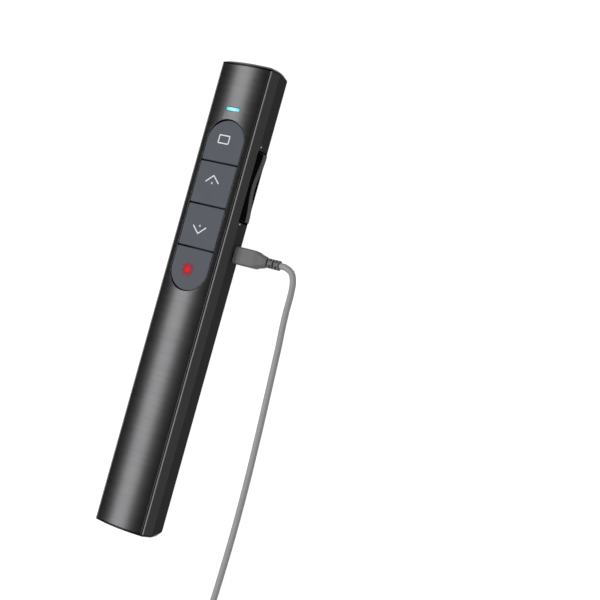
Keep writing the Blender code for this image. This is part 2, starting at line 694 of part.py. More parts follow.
def make_bezels(finish):
    """Two chamfered end rings, alike; a spigot plugs into the case and a shelf backs the end plate."""
    section = case_section()
    bore = under(inset(section, BORE_FLOOR_Z), BORE_ROOF_Z)
    spigot = under(inset(section, CASE_WALL + GAP), LEDGE_Z)
    face = inset(section, BEZEL_INSET)
    seat = inset(section, BEZEL_INSET + BEZEL_LIP)
    flange_y = CASE_END_Y - BEZEL_FLANGE
    spigot_y = flange_y - SPIGOT_LENGTH
    stations = (
        (flange_y, section),
        (CASE_END_Y - BEZEL_CHAMFER, section),
        (CASE_END_Y, face),
        (CASE_END_Y, seat),
        (SHELF_Y, seat),
        (SHELF_Y, bore),
        (spigot_y, bore),
        (spigot_y, spigot),
        (flange_y, spigot),
    )
    head = loft("head_bezel", "Y", stations, finish, closed=True)
    tail = bpy.data.objects.new("tail_bezel", head.data)
    tail.rotation_euler.z = math.pi
    bpy.context.collection.objects.link(tail)


def end_plate(name, end, finish, opening):
    """A flat end plate inside a bezel, with an opening cut through it."""
    outline = inset(case_section(), BEZEL_INSET + BEZEL_LIP + GAP)
    near, far = SHELF_Y + GAP, CASE_END_Y - END_PLATE_RECESS
    plate = prism(name, "Y", outline, min(end * near, end * far), max(end * near, end * far), finish)
    low, high = sorted((end * (near - CUT_OVERRUN), end * (far + CUT_OVERRUN)))
    cut(plate, prism(name + "_cutter", "Y", opening, low, high))
    return plate


def make_end_plates(look):
    """The grey plates with the laser's hole and the receiver's opening."""
    end_plate("head_end_plate", 1, look["plate"], circle((0.0, LASER_Z), LASER_HOLE_RADIUS))
    half_width, half_height = RECEIVER_WIDTH / 2 + GAP, RECEIVER_HEIGHT / 2 + GAP
    opening = rounded_rectangle((0.0, RECEIVER_Z), half_width, half_height, RECEIVER_CORNER + GAP)
    end_plate("tail_end_plate", -1, look["plate"], opening)


# Keys and their switches


def key_span(index):
    """Where a key's cap starts and ends along the row."""
    start = KEY_ROW_TAIL_Y + index * KEY_PITCH
    return start, start + KEY_PITCH - KEY_SPACING


def key_centre(index):
    """The middle of a key, where its switch stands."""
    return sum(key_span(index)) / 2


def key_outline(index, reach, end_inset):
    """A key's outline seen from above, its free sides moved out by reach and its divided ends moved in."""
    start, stop = key_span(index)
    half = KEY_WIDTH / 2 + reach
    turn = KEY_ARC_SEGMENTS
    if index == len(KEY_NAMES) - 1:
        far = arc((0.0, stop - KEY_WIDTH / 2), half, 0.0, math.pi, turn)
    else:
        far = [(half, stop - end_inset), (-half, stop - end_inset)]
    if index == 0:
        near = arc((0.0, start + KEY_WIDTH / 2), half, math.pi, 2 * math.pi, turn)
    else:
        near = [(-half, start + end_inset), (half, start + end_inset)]
    return far + near


def make_key(index, finish):
    """A key cap with the flange that the cover holds it in by."""
    cap = key_outline(index, 0.0, 0.0)
    stations = (
        (KEY_FLANGE_TOP_Z - JOIN_OVERLAP, cap),
        (KEY_TOP_Z - KEY_EDGE_BEVEL, cap),
        (KEY_TOP_Z, key_outline(index, -KEY_EDGE_BEVEL, KEY_EDGE_BEVEL)),
    )
    key = loft(KEY_NAMES[index], "Z", stations, finish)
    rim = key_outline(index, KEY_FLANGE_REACH, KEY_FLANGE_INSET)
    join(key, prism(KEY_NAMES[index] + "_flange", "Z", rim, KEY_FLANGE_FOOT_Z, KEY_FLANGE_TOP_Z))
    return key


def make_key_switch(index, look):
    """A tact switch under a key, and the plunger that travels with the key."""
    centre = (0.0, key_centre(index))
    half = SWITCH_SIZE / 2
    top = ON_BOARD_Z + SWITCH_HEIGHT
    floor = ON_BOARD_Z + SWITCH_FLOOR
    body = rounded_rectangle(centre, half, half, GAP, 1)
    switch = prism(f"key_switch_{index + 1}", "Z", body, ON_BOARD_Z, top, look["chip"])
    bore = circle(centre, PLUNGER_RADIUS + GAP)
    cut(switch, prism(f"key_switch_{index + 1}_bore", "Z", bore, floor, top + CUT_OVERRUN))
    foot = floor + KEY_TRAVEL + GAP
    head = KEY_FLANGE_FOOT_Z - GAP
    prism(f"key_plunger_{index + 1}", "Z", circle(centre, PLUNGER_RADIUS), foot, head, look["white"])


# Volume rocker


def rocker_face_x(offset):
    """How far out the rocker's face stands at an offset from its middle: a saddle with round ends."""
    reach = abs(offset)
    crest = ROCKER_LENGTH / 2 - ROCKER_END_ROUND
    rise = ROCKER_RISE * (1 - math.cos(math.pi * min(reach / crest, 1))) / 2
    past = max(reach - crest, 0.0) / ROCKER_END_ROUND
    return SIDE_X + rise - ROCKER_END_DROP * (1 - math.sqrt(max(1 - past**2, 0.0)))


def make_rocker(look):
    """The rocker, its pivot pin, and the lug and nubs on its back."""
    half = ROCKER_LENGTH / 2
    crest = half - ROCKER_END_ROUND
    rounding = [half - ROCKER_END_ROUND * (1 - math.sin(t)) for t in np.linspace(0, math.pi / 2, 5)]
    inner = list(np.linspace(0, crest, ROCKER_RINGS // 2))
    right = inner + rounding[1:]
    stations = []
    for offset in [-t for t in right[:0:-1]] + right:
        face = rocker_face_x(offset)
        ring = (
            (ROCKER_BACK_X, ROCKER_FOOT_Z),
            (face - ROCKER_FOOT_BEVEL, ROCKER_FOOT_Z),
            (face, ROCKER_FOOT_Z + ROCKER_FOOT_BEVEL),
            (face, ROCKER_FACE_TOP_Z),
            (face - ROCKER_TOP_SLOPE, ROCKER_TOP_Z),
            (ROCKER_BACK_X, ROCKER_TOP_Z),
        )
        stations.append((ROCKER_Y + offset, ring))
    rocker = loft("volume_rocker", "Y", stations, look["rocker"])
    bore = ROCKER_PIN_RADIUS + PIN_CLEARANCE
    lug_in = ROCKER_PIN_X - bore - EAR_WALL
    lug = (
        (lug_in, ROCKER_Y - LUG_WIDTH / 2, ROCKER_FOOT_Z + LUG_MARGIN),
        (ROCKER_BACK_X + JOIN_OVERLAP, ROCKER_Y + LUG_WIDTH / 2, ROCKER_TOP_Z - LUG_MARGIN),
    )
    join(rocker, block("rocker_lug", *lug))
    nubs = []
    for side in (-1, 1):
        y = ROCKER_Y + side * NUB_OFFSET_Y
        z = rocker_switch_z()
        low = (ROCKER_BACK_X - NUB_LENGTH, y - NUB_SIZE / 2, z - NUB_SIZE / 2)
        high = (ROCKER_BACK_X + JOIN_OVERLAP, y + NUB_SIZE / 2, z + NUB_SIZE / 2)
        nubs.append((low, high))
    join(rocker, boxes("rocker_nubs", nubs))
    hole = circle((ROCKER_PIN_X, ROCKER_Y), bore, FINE_SEGMENTS // 2)
    low, high = ROCKER_FOOT_Z - CUT_OVERRUN, ROCKER_TOP_Z + CUT_OVERRUN
    cut(rocker, prism("rocker_bore", "Z", hole, low, high))
    foot = ROCKER_FOOT_Z - EAR_GAP - PIN_SEAT_DEPTH
    head = ROCKER_TOP_Z + EAR_GAP + PIN_SEAT_DEPTH - GAP / 2
    pin = circle((ROCKER_PIN_X, ROCKER_Y), ROCKER_PIN_RADIUS, FINE_SEGMENTS // 2)
    prism("rocker_pin", "Z", pin, foot, head, look["steel"])


def rocker_switch_z():
    """The height of the rocker's switches, which hang under the board."""
    return UNDER_BOARD_Z - ROCKER_SWITCH_HEIGHT / 2


def make_rocker_switch(name, side, look):
    """A side-press switch under the board's edge, and its plunger, which moves with the rocker."""
    y = ROCKER_Y + side * NUB_OFFSET_Y
    z = rocker_switch_z()
    front = BOARD_WIDTH / 2
    low = (front - ROCKER_SWITCH_DEPTH, y - ROCKER_SWITCH_WIDTH / 2, UNDER_BOARD_Z - ROCKER_SWITCH_HEIGHT)
    switch = block(name, low, (front, y + ROCKER_SWITCH_WIDTH / 2, UNDER_BOARD_Z), look["chip"])
    bore = circle((y, z), ROCKER_PLUNGER_RADIUS + ROCKER_PLUNGER_CLEARANCE)
    floor = front - ROCKER_SWITCH_DEPTH + ROCKER_SWITCH_FLOOR
    cut(switch, prism(name + "_bore", "X", bore, floor, front + CUT_OVERRUN))
    tip = ROCKER_BACK_X - NUB_LENGTH - GAP
    plunger = circle((y, z), ROCKER_PLUNGER_RADIUS)
    prism(name.replace("switch", "plunger"), "X", plunger, floor + 2 * GAP, tip, look["white"])


# Main board


def make_board(look):
    """The board, notched round the charging socket, and its four screws."""
    half = BOARD_WIDTH / 2
    foot, top = BOARD_FOOT_Z, BOARD_TOP_Z
    board = block("main_board", (-half, BOARD_TAIL_Y, foot), (half, BOARD_HEAD_Y, top), look["board"])
    notch_x = socket_back_x() - GAP
    notch_y = SOCKET_WIDTH / 2 + GAP
    notch = (
        (notch_x, PLUG_Y - notch_y, BOARD_FOOT_Z - CUT_OVERRUN),
        (half + CUT_OVERRUN, PLUG_Y + notch_y, BOARD_TOP_Z + CUT_OVERRUN),
    )
    cut(board, block("socket_notch_cutter", *notch))
    screw = (
        (UNDER_BOARD_Z - SCREW_DEPTH, SCREW_RADIUS),
        (ON_BOARD_Z, SCREW_RADIUS),
        (ON_BOARD_Z, SCREW_HEAD_RADIUS),
        (ON_BOARD_Z + SCREW_HEAD_HEIGHT, SCREW_HEAD_RADIUS),
    )
    for index, place in enumerate(post_places()):
        hole = circle(place, SCREW_RADIUS + GAP)
        low, high = BOARD_FOOT_Z - CUT_OVERRUN, BOARD_TOP_Z + CUT_OVERRUN
        cut(board, prism(f"board_hole_{index}", "Z", hole, low, high))
        turned(f"board_screw_{index + 1}", "Z", place, screw, look["steel"])


def make_chips(look):
    """The control chip, the radio chip and its crystal, standing on the board."""
    left, right = -BOARD_WIDTH / 2, BOARD_WIDTH / 2
    control = (left + CONTROL_CHIP_SIDE_INSET, BOARD_TAIL_Y + CONTROL_CHIP_TAIL_INSET)
    radio = (right - RADIO_CHIP_SIDE_INSET, BOARD_TAIL_Y + RADIO_CHIP_TAIL_INSET)
    crystal = (right - CRYSTAL_SIDE_INSET, BOARD_TAIL_Y + CRYSTAL_TAIL_INSET)
    for name, (x, y), length, width, height, finish in (
        ("control_chip", control, CONTROL_CHIP_SIZE, CONTROL_CHIP_SIZE, CONTROL_CHIP_HEIGHT, "chip"),
        ("radio_chip", radio, RADIO_CHIP_SIZE, RADIO_CHIP_SIZE, RADIO_CHIP_HEIGHT, "chip"),
        ("crystal_can", crystal, CRYSTAL_LENGTH, CRYSTAL_WIDTH, CRYSTAL_HEIGHT, "steel"),
    ):
        low = (x - length / 2, y - width / 2, ON_BOARD_Z)
        block(name, low, (x + length / 2, y + width / 2, ON_BOARD_Z + height), look[finish])


# Status light


def make_light(look):
    """The clear bar in the cover and the lamp under it."""
    half_length, half_width = LIGHT_LENGTH / 2, LIGHT_WIDTH / 2
    flange_top = arch_z(LIGHT_FLANGE_LENGTH / 2, COVER_THICKNESS) - GAP
    flange_foot = flange_top - LIGHT_FLANGE_THICKNESS
    lamp_top = ON_BOARD_Z + LED_HEIGHT
    bar_top = arch_z(half_length) - LIGHT_RECESS
    low = (-half_length, LIGHT_Y - half_width, flange_top - JOIN_OVERLAP)
    pipe = block("light_pipe", low, (half_length, LIGHT_Y + half_width, bar_top), look["light"])
    reach, width = LIGHT_FLANGE_LENGTH / 2, LIGHT_FLANGE_WIDTH / 2
    flange = ((-reach, LIGHT_Y - width, flange_foot), (reach, LIGHT_Y + width, flange_top))
    reach, width = LIGHT_LEG_LENGTH / 2, LIGHT_LEG_WIDTH / 2
    leg = ((-reach, LIGHT_Y - width, lamp_top + GAP), (reach, LIGHT_Y + width, flange_foot + JOIN_OVERLAP))
    join(pipe, block("light_flange", *flange), block("light_leg", *leg))
    reach, width = LED_LENGTH / 2, LED_WIDTH / 2
    lamp = ((-reach, LIGHT_Y - width, ON_BOARD_Z), (reach, LIGHT_Y + width, lamp_top))
    block("status_led", *lamp, look["white"])


# Laser


def make_laser(look):
    """Window, barrel, lens, diode and driver board, one behind the other, and their two leads."""
    centre = (0.0, LASER_Z)
    front, back = BARREL_FRONT_Y, BARREL_BACK_Y
    window = circle(centre, WINDOW_RADIUS)
    prism("laser_window", "Y", window, front + GAP, front + GAP + WINDOW_THICKNESS - GAP / 2, look["clear"])
    barrel = (
        (back, BARREL_RADIUS),
        (front, BARREL_RADIUS),
        (front, BARREL_MOUTH_RADIUS),
        (front - BARREL_LIP, BARREL_MOUTH_RADIUS),
        (front - BARREL_LIP, BARREL_BORE_RADIUS),
        (back, BARREL_BORE_RADIUS),
    )
    turned("laser_barrel", "Y", centre, barrel, look["brass"], closed=True, segments=FINE_SEGMENTS)
    lens_front = front - BARREL_LIP - GAP
    seated = BARREL_BORE_RADIUS - GAP
    lens = (
        (lens_front - LENS_THICKNESS, seated / 2),
        (lens_front - LENS_THICKNESS + LENS_CROWN, seated),
        (lens_front - LENS_CROWN, seated),
        (lens_front, seated / 2),
    )
    turned("laser_lens", "Y", centre, lens, look["clear"])
    base = back + DIODE_INSET
    diode = (
        (base, seated),
        (base + DIODE_FLANGE_THICKNESS, seated),
        (base + DIODE_FLANGE_THICKNESS, DIODE_CAN_RADIUS),
        (base + DIODE_FLANGE_THICKNESS + DIODE_CAN_LENGTH, DIODE_CAN_RADIUS),
    )
    turned("laser_diode", "Y", centre, diode, look["steel"])
    driver_back = back - GAP - DRIVER_THICKNESS
    driver = circle(centre, BARREL_RADIUS - GAP)
    prism("laser_driver_board", "Y", driver, driver_back, back - GAP, look["board"])
    start = driver_back - GAP
    low = ON_BOARD_Z + LASER_LEAD_RADIUS
    for name, x, finish in (
        ("laser_lead_red", LASER_LEAD_X, "red"),
        ("laser_lead_black", -LASER_LEAD_X, "black"),
    ):
        route = (
            (x, start, low),
            (x, start - LASER_LEAD_REACH / 4, low + LASER_LEAD_HUMP / 2),
            (x, start - LASER_LEAD_REACH / 2, low + LASER_LEAD_HUMP),
            (x, start - LASER_LEAD_REACH * 3 / 4, low + LASER_LEAD_HUMP / 2),
            (x, start - LASER_LEAD_REACH, low),
        )
        tube(name, smooth_path(route, LASER_LEAD_RADIUS * 2), LASER_LEAD_RADIUS, 2, look[finish])


# Battery


def make_battery(look):
    """The cell on its foam pad, and its two leads up to the board."""
    foot = CASE_WALL + GAP
    middle = BATTERY_HEAD_Y - BATTERY_LENGTH / 2
    reach = BATTERY_LENGTH / 2 - PAD_MARGIN
    low = (-PAD_WIDTH / 2, middle - reach, foot)
    pad_top = foot + PAD_THICKNESS
    block("battery_pad", low, (PAD_WIDTH / 2, middle + reach, pad_top), look["foam"])
    cell_z = pad_top + GAP + BATTERY_HEIGHT / 2
    cell = rounded_rectangle((0.0, cell_z), BATTERY_WIDTH / 2, BATTERY_HEIGHT / 2, BATTERY_EDGE)
    prism("battery_cell", "Y", cell, BATTERY_HEAD_Y - BATTERY_LENGTH, BATTERY_HEAD_Y, look["foil"])
    start = BATTERY_HEAD_Y + GAP
    low_z = ON_BOARD_Z + BATTERY_LEAD_RADIUS
    end = BOARD_TAIL_Y + BATTERY_LEAD_REACH
    cell_top = cell_z + BATTERY_HEIGHT / 2
    for name, x, finish in (
        ("battery_lead_red", BATTERY_LEAD_X, "red"),
        ("battery_lead_black", -BATTERY_LEAD_X, "black"),
    ):
        route = (
            (x, start, cell_top - BATTERY_EDGE),
            (x, start + BATTERY_LEAD_RADIUS, cell_top - BATTERY_EDGE),
            (x, (start + BOARD_TAIL_Y) / 2, low_z),
            (x, BOARD_TAIL_Y + BATTERY_LEAD_RADIUS, low_z),
            (x, end, low_z),
        )
        tube(name, smooth_path(route, BATTERY_LEAD_RADIUS * 2), BATTERY_LEAD_RADIUS, 2, look[finish])


# Receiver in the tail


def usb_shell_ring(centre, extra=0.0):
    """The outside of a flat connector's metal shell, or of a space round it."""
    half_width, half_height = USB_SHELL_WIDTH / 2 + extra, USB_SHELL_HEIGHT / 2 + extra
    return rounded_rectangle(centre, half_width, half_height, USB_SHELL_CORNER)


def usb_shell(name, centre, start, stop, finish):
    """A flat metal shell, open at both ends, along Y."""
    outer = usb_shell_ring(centre)
    inner = usb_shell_ring(centre, -USB_SHELL_WALL)
    stations = ((start, outer), (stop, outer), (stop, inner), (start, inner))
    return loft(name, "Y", stations, finish, closed=True)


def usb_tongue(name, centre, start, stop, finish):
    """The plastic tongue that lies low in a flat metal shell."""
    foot = centre[1] - USB_SHELL_HEIGHT / 2 + USB_SHELL_WALL + GAP
    half = USB_SHELL_WIDTH / 2 - USB_SHELL_WALL - USB_TONGUE_MARGIN
    low = (centre[0] - half, min(start, stop), foot)
    high = (centre[0] + half, max(start, stop), foot + USB_TONGUE_HEIGHT)
    return block(name, low, high, finish)


def make_receiver(look):
    """The wireless receiver, flush with the tail, and the bay that it slides into."""
    centre = (0.0, RECEIVER_Z)
    tail = -CASE_END_Y + END_PLATE_RECESS
    body_end = tail + RECEIVER_BODY_LENGTH
    cap = rounded_rectangle(centre, RECEIVER_WIDTH / 2, RECEIVER_HEIGHT / 2, RECEIVER_CORNER)
    prism("receiver_body", "Y", cap, tail, body_end, look["chip"])
    start = body_end + GAP
    stop = start + RECEIVER_SHELL_LENGTH
    usb_shell("receiver_shell", centre, start, stop, look["steel"])
    usb_tongue("receiver_tongue", centre, start, stop - TONGUE_INSET, look["white"])
    space = usb_shell_ring(centre, GAP)
    outside = usb_shell_ring(centre, GAP + BAY_WALL)
    stations = (
        (stop + GAP, space),
        (body_end + 2 * GAP, space),
        (body_end + 2 * GAP, outside),
        (stop + GAP + BAY_WALL, outside),
    )
    loft("receiver_bay", "Y", stations, look["chip"])


# Charging socket and plug


def socket_front_x():
    """Where the socket's block ends, inside the case's side."""
    return SIDE_X - CASE_WALL - SOCKET_SETBACK


def socket_back_x():
    """Where the socket's block starts."""
    return socket_front_x() - SOCKET_LENGTH


def make_socket(look):
    """The charging socket: a block in the board's notch, whose round nose fills the case's port."""
    half_y, half_z = SOCKET_WIDTH / 2, SOCKET_HEIGHT / 2
    front = socket_front_x()
    low = (socket_back_x(), PLUG_Y - half_y, PLUG_Z - half_z)
    socket = block("charge_socket", low, (front, PLUG_Y + half_y, PLUG_Z + half_z), look["chip"])
    nose_end = SIDE_X - NOSE_RECESS
    nose = circle((PLUG_Y, PLUG_Z), NOSE_RADIUS)
    join(socket, prism("socket_nose", "X", nose, front - JOIN_OVERLAP, nose_end))
    bore = circle((PLUG_Y, PLUG_Z), TIP_RADIUS + GAP)
    depth = nose_end - SOCKET_BORE_DEPTH
    cut(socket, prism("socket_bore", "X", bore, depth, nose_end + CUT_OVERRUN))


def plug_ring(half_y, half_z, radius):
    """A ring of the plug's moulding; equal halves and radius make it round."""
    return rounded_rectangle((PLUG_Y, PLUG_Z), half_y, half_z, radius)


def make_charge_plug(look):
    """The plug: a block, a taper and a ribbed strain relief in one moulding, and its metal tip."""
    half_y, half_z = PLUG_WIDTH / 2, PLUG_THICKNESS / 2
    bevel = PLUG_FRONT_BEVEL
    x = PLUG_FRONT_X
    stations = [
        (x, plug_ring(half_y - bevel, half_z - bevel, PLUG_CORNER)),
        (x + bevel, plug_ring(half_y, half_z, PLUG_CORNER)),
    ]
    x += PLUG_BLOCK_LENGTH
    stations.append((x, plug_ring(half_y, half_z, PLUG_CORNER)))
    x += PLUG_TAPER_LENGTH
    core = plug_ring(RELIEF_RADIUS, RELIEF_RADIUS, RELIEF_RADIUS)
    rib = plug_ring(RELIEF_RIB_RADIUS, RELIEF_RIB_RADIUS, RELIEF_RIB_RADIUS)
    for index in range(RELIEF_RIB_COUNT):
        start = x + index * RELIEF_RIB_PITCH
        ridge = start + RELIEF_RIB_PITCH - RELIEF_RIB_WIDTH
        stations += [(start, core), (ridge, core), (ridge, rib), (start + RELIEF_RIB_PITCH, rib)]
    loft("charge_plug_body", "X", stations, look["plug"])
    tip_root = PLUG_FRONT_X - GAP
    tip_end = tip_root - TIP_LENGTH
    tip = (
        (tip_end + TIP_BORE_DEPTH, TIP_BORE_RADIUS),
        (tip_end, TIP_BORE_RADIUS),
        (tip_end, TIP_RADIUS),
        (tip_root, TIP_RADIUS),
    )
    turned("charge_plug_tip", "X", (PLUG_Y, PLUG_Z), tip, look["steel"])


# Charging lead


def coil_points():
    """One unbroken winding: it spirals in on the floor, climbs where it reverses and spirals out on top."""
    count = round(COIL_TURNS * COIL_LOOP_POINTS)
    points = []
    for step in range(count + 1):
        turns = step / COIL_LOOP_POINTS
        angle = -2 * math.pi * turns
        from_middle = turns - COIL_TURNS / 2
        radius = COIL_MEAN_RADIUS - COIL_SWING + COIL_STEP * abs(from_middle)
        climb = min(max(from_middle + COIL_CLIMB_TURNS / 2, 0.0) / COIL_CLIMB_TURNS, 1.0)
        ease = (1 - math.cos(math.pi * climb)) / 2
        z = COIL_FOOT_Z + (COIL_TOP_Z - COIL_FOOT_Z) * ease
        x = COIL_CENTRE_X + radius * math.cos(angle)
        y = COIL_CENTRE_Y + radius * math.sin(angle)
        points.append((x, y, z))
    first, last = points[0], points[-1]
    lead_in = (first[0], first[1] + CORD_DIAMETER, first[2])
    lead_out = (last[0] + CORD_DIAMETER, last[1], last[2])
    return [lead_in, *points, lead_out]


def least_gap(points):
    """The least clear space between stretches of a tube that are more than half a loop apart."""
    spots = np.array(points)
    apart = COIL_LOOP_POINTS // 2
    least = math.inf
    for index in range(len(spots) - apart):
        starts, ends = spots[index + apart : -1], spots[index + apart + 1 :]
        along = ends - starts
        if not len(along):
            break
        share = ((spots[index] - starts) * along).sum(1) / (along**2).sum(1)
        nearest = starts + np.clip(share, 0, 1)[:, None] * along
        least = min(least, float(np.linalg.norm(nearest - spots[index], axis=1).min()))
    return least - CORD_DIAMETER


def path_length(points):
    """Length of a run of points."""
    spots = np.array(points)
    return float(np.linalg.norm(np.diff(spots, axis=0), axis=1).sum())


def on_floor(points):
    """The points of a cord, none lower than where it lies on the floor."""
    return [(x, y, max(z, CORD_DIAMETER / 2)) for x, y, z in points]


def make_lead(look):
    """The free cord, the coil that holds its spare length, and the short run to the far plug."""
    coil = coil_points()
    start = (PLUG_END_X + GAP, PLUG_Y, PLUG_Z)
    end = coil[0]
    arrive = (end[0], end[1] + GAP + CORD_DIAMETER, end[2])
    stop = (end[0], end[1] + GAP, end[2])
    free = smooth_path((start, *CORD_ROUTE, arrive, stop), CORD_SPACING)
    leave = coil[-1]
    begin = (leave[0] + GAP, leave[1], leave[2])
    onward = (begin[0] + CORD_DIAMETER, begin[1], begin[2])
    usb_z = USB_PLUG_THICKNESS / 2
    near = (USB_PLUG_X, USB_PLUG_Y + GAP + CORD_DIAMETER, usb_z)
    far = (USB_PLUG_X, USB_PLUG_Y + GAP, usb_z)
    free = on_floor(free)
    out = on_floor(smooth_path((begin, onward, *LEAD_OUT_ROUTE, near, far), CORD_SPACING))
    tube("charging_cord", free, CORD_DIAMETER / 2, 2, look["cord"])
    tube("cord_coil", coil, CORD_DIAMETER / 2, 1, look["cord"])
    tube("cord_lead_out", out, CORD_DIAMETER / 2, 2, look["cord"])
    total = path_length(free) + path_length(coil) + path_length(out)
    print(f"lead {total:.4f} m, coil's least gap {least_gap(coil) * 1000:.2f} mm")


def make_tie(look):
    """A flat band round the coil's turns at their left side."""
    half = TIE_WIDTH / 2
    outer_radius = COIL_MEAN_RADIUS + COIL_SWING + CORD_DIAMETER / 2 + GAP
    inner_radius = COIL_MEAN_RADIUS - COIL_SWING - CORD_DIAMETER / 2
    inner_radius = math.sqrt(inner_radius**2 - half**2) - GAP
    middle_x = COIL_CENTRE_X - (outer_radius + inner_radius) / 2
    low = TIE_FLOOR_GAP + TIE_THICKNESS
    high = COIL_TOP_Z + CORD_DIAMETER / 2 + GAP
    centre = (middle_x, (low + high) / 2)
    half_x, half_z = (outer_radius - inner_radius) / 2, (high - low) / 2
    inner = rounded_rectangle(centre, half_x, half_z, TIE_THICKNESS)
    outer = rounded_rectangle(centre, half_x + TIE_THICKNESS, half_z + TIE_THICKNESS, 2 * TIE_THICKNESS)
    y0, y1 = COIL_CENTRE_Y - half, COIL_CENTRE_Y + half
    loft("cord_tie", "Y", ((y0, outer), (y1, outer), (y1, inner), (y0, inner)), look["black"], closed=True)


def make_usb_plug(look):
    """The plug on the lead's far end: moulding, metal shell and tongue."""
    z = USB_PLUG_THICKNESS / 2
    centre = (USB_PLUG_X, z)
    half_width, half_height = USB_PLUG_WIDTH / 2, USB_PLUG_THICKNESS / 2
    relief = rounded_rectangle(centre, USB_RELIEF_RADIUS, USB_RELIEF_RADIUS, USB_RELIEF_RADIUS)
    bevel = USB_PLUG_BEVEL
    neck = rounded_rectangle(centre, half_width - bevel, half_height - bevel, USB_PLUG_CORNER)
    full = rounded_rectangle(centre, half_width, half_height, USB_PLUG_CORNER)
    back = USB_PLUG_Y - USB_RELIEF_LENGTH
    front = back - USB_PLUG_LENGTH
    stations = (
        (USB_PLUG_Y, relief),
        (back, relief),
        (back, neck),
        (back - bevel, full),
        (front + bevel, full),
        (front, neck),
    )
    loft("usb_plug_body", "Y", stations, look["plug"])
    root = front - GAP
    mouth = root - USB_PLUG_SHELL_LENGTH
    usb_shell("usb_plug_shell", centre, mouth, root, look["steel"])
    usb_tongue("usb_plug_tongue", centre, mouth + TONGUE_INSET, root, look["white"])


def main():
    """Clears the scene and builds every piece."""
    for old in list(bpy.data.objects):
        bpy.data.objects.remove(old)
    look = finishes()
    make_top_cover(look["cover"])
    make_bottom_case(look["case"])
    make_bezels(look["bezel"])
    make_end_plates(look)
    for index in range(len(KEY_NAMES)):
        make_key(index, look["key"])
        make_key_switch(index, look)
    make_rocker(look)
    make_rocker_switch("rocker_switch_tail", -1, look)
    make_rocker_switch("rocker_switch_head", 1, look)
    make_board(look)
    make_chips(look)
    make_light(look)
    make_laser(look)
    make_battery(look)
    make_receiver(look)
    make_socket(look)
    make_charge_plug(look)
    make_lead(look)
    make_tie(look)
    make_usb_plug(look)


main()
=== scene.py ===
"""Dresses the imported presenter: fine shells, keys, marks, plugs and lead, their finishes, light and camera.

Everything is in metres, in the part's own frame: keys +Z, laser end +Y, rocker and charging socket +X.
"""

import json
import math
from typing import NamedTuple

import bmesh
import bpy
import numpy as np
from mathutils import Matrix, Vector


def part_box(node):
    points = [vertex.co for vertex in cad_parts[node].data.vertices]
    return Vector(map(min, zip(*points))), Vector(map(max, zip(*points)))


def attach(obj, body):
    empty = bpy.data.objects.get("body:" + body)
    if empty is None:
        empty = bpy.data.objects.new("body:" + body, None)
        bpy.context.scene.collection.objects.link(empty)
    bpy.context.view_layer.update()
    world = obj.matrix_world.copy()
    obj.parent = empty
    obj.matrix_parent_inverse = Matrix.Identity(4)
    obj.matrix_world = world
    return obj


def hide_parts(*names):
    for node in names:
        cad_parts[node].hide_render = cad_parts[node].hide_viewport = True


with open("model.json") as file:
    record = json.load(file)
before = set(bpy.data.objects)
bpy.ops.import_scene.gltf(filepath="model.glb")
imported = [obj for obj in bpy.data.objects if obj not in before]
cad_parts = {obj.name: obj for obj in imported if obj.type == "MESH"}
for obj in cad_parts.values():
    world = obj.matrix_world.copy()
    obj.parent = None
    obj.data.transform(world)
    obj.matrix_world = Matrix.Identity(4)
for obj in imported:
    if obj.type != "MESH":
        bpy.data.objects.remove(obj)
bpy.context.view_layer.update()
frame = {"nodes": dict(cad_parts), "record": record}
NODES = frame["nodes"]

# Every finish by its name
LOOK = {}

# The slot of each finish that has no slot of its name
SLOTS = {
    "key_laser_slate": "key_slate",
    "mark_white": "white_plastic",
    "mark_grey": "white_plastic",
    "laser_core": "wire_red",
    "mark_red": "wire_red",
    "contact_gold": "barrel_brass",
    "tape_amber": "foam_grey",
}

# Below, a SIZE holds half a width, half a height and the corners' radius of a rounded rectangle

# Gaps and roundings in general
GAP = 0.0003
CUT_REACH = 0.0010
FITTING_ROOT = 0.00005
LEAST_ROUND = 0.00004
WELD_REACH = 0.000004
ROUND_STEPS = 6
FINE_CORNER_STEPS = 8
RIM_STEPS = 4
CIRCLE_SEGMENTS = 48
HOLE_SEGMENTS = 64
DOT_SEGMENTS = 32
NODE_EDGE = 0.00006
EDGE_ANGLE = math.radians(35)
SHARP_ANGLE = math.radians(40)
BEZEL_SHARP_ANGLE = math.radians(30)

# Case section
CASE_HALF_LENGTH = 0.0750
CASE_HALF_WIDTH = 0.0103
CASE_HEIGHT = 0.0133
CREASE_X = 0.00925
CREASE_Z = 0.0117
ARCH_RADIUS = (CREASE_X**2 + (CASE_HEIGHT - CREASE_Z) ** 2) / (2 * (CASE_HEIGHT - CREASE_Z))
SIDE_TOP_Z = 0.0082
SIDE_FOOT_Z = 0.0032
CHIN_X = 0.0091
CHIN_Z = 0.00115
LAND_X = 0.0040
CREASE_ROUND = 0.00012
SIDE_ROUND = 0.0030
FOOT_ROUND = 0.0020
CHIN_ROUND = 0.0010
LINING_ROUND_SHARE = 0.25
CROWN_SEGMENTS = 48
BELLY_SEGMENTS = 8

# Tray
CASE_WALL = 0.0015
RIM_WIDTH = 0.0004
LEDGE_Z = 0.0103
FITTINGS_END_Y = 0.0732
SHELL_END_ROUND = 0.00010
RECESS_Z = 0.00585
RECESS_SIZE = (0.0116, 0.00265, 0.0005)
MOUTH_ROUND = 0.00012
PORT_RADIUS = 0.0023
# Faces that lean down more than this get painted shade
PAINTED_SHADE_NORMAL = 0.15
MARK_RISE = 0.00003
SIDE_DOT_RADIUS = 0.00030
SIDE_DOT_Z = 0.0076
SIDE_DOTS_Y = (0.0256, 0.0505)

# Top cover
COVER_HALF = 0.00855
COVER_THICKNESS = 0.0013
COVER_SKIRT_X = 0.00775
COVER_SKIRT_SLOPE = 0.00005
COVER_EDGE_ROUND = 0.00014

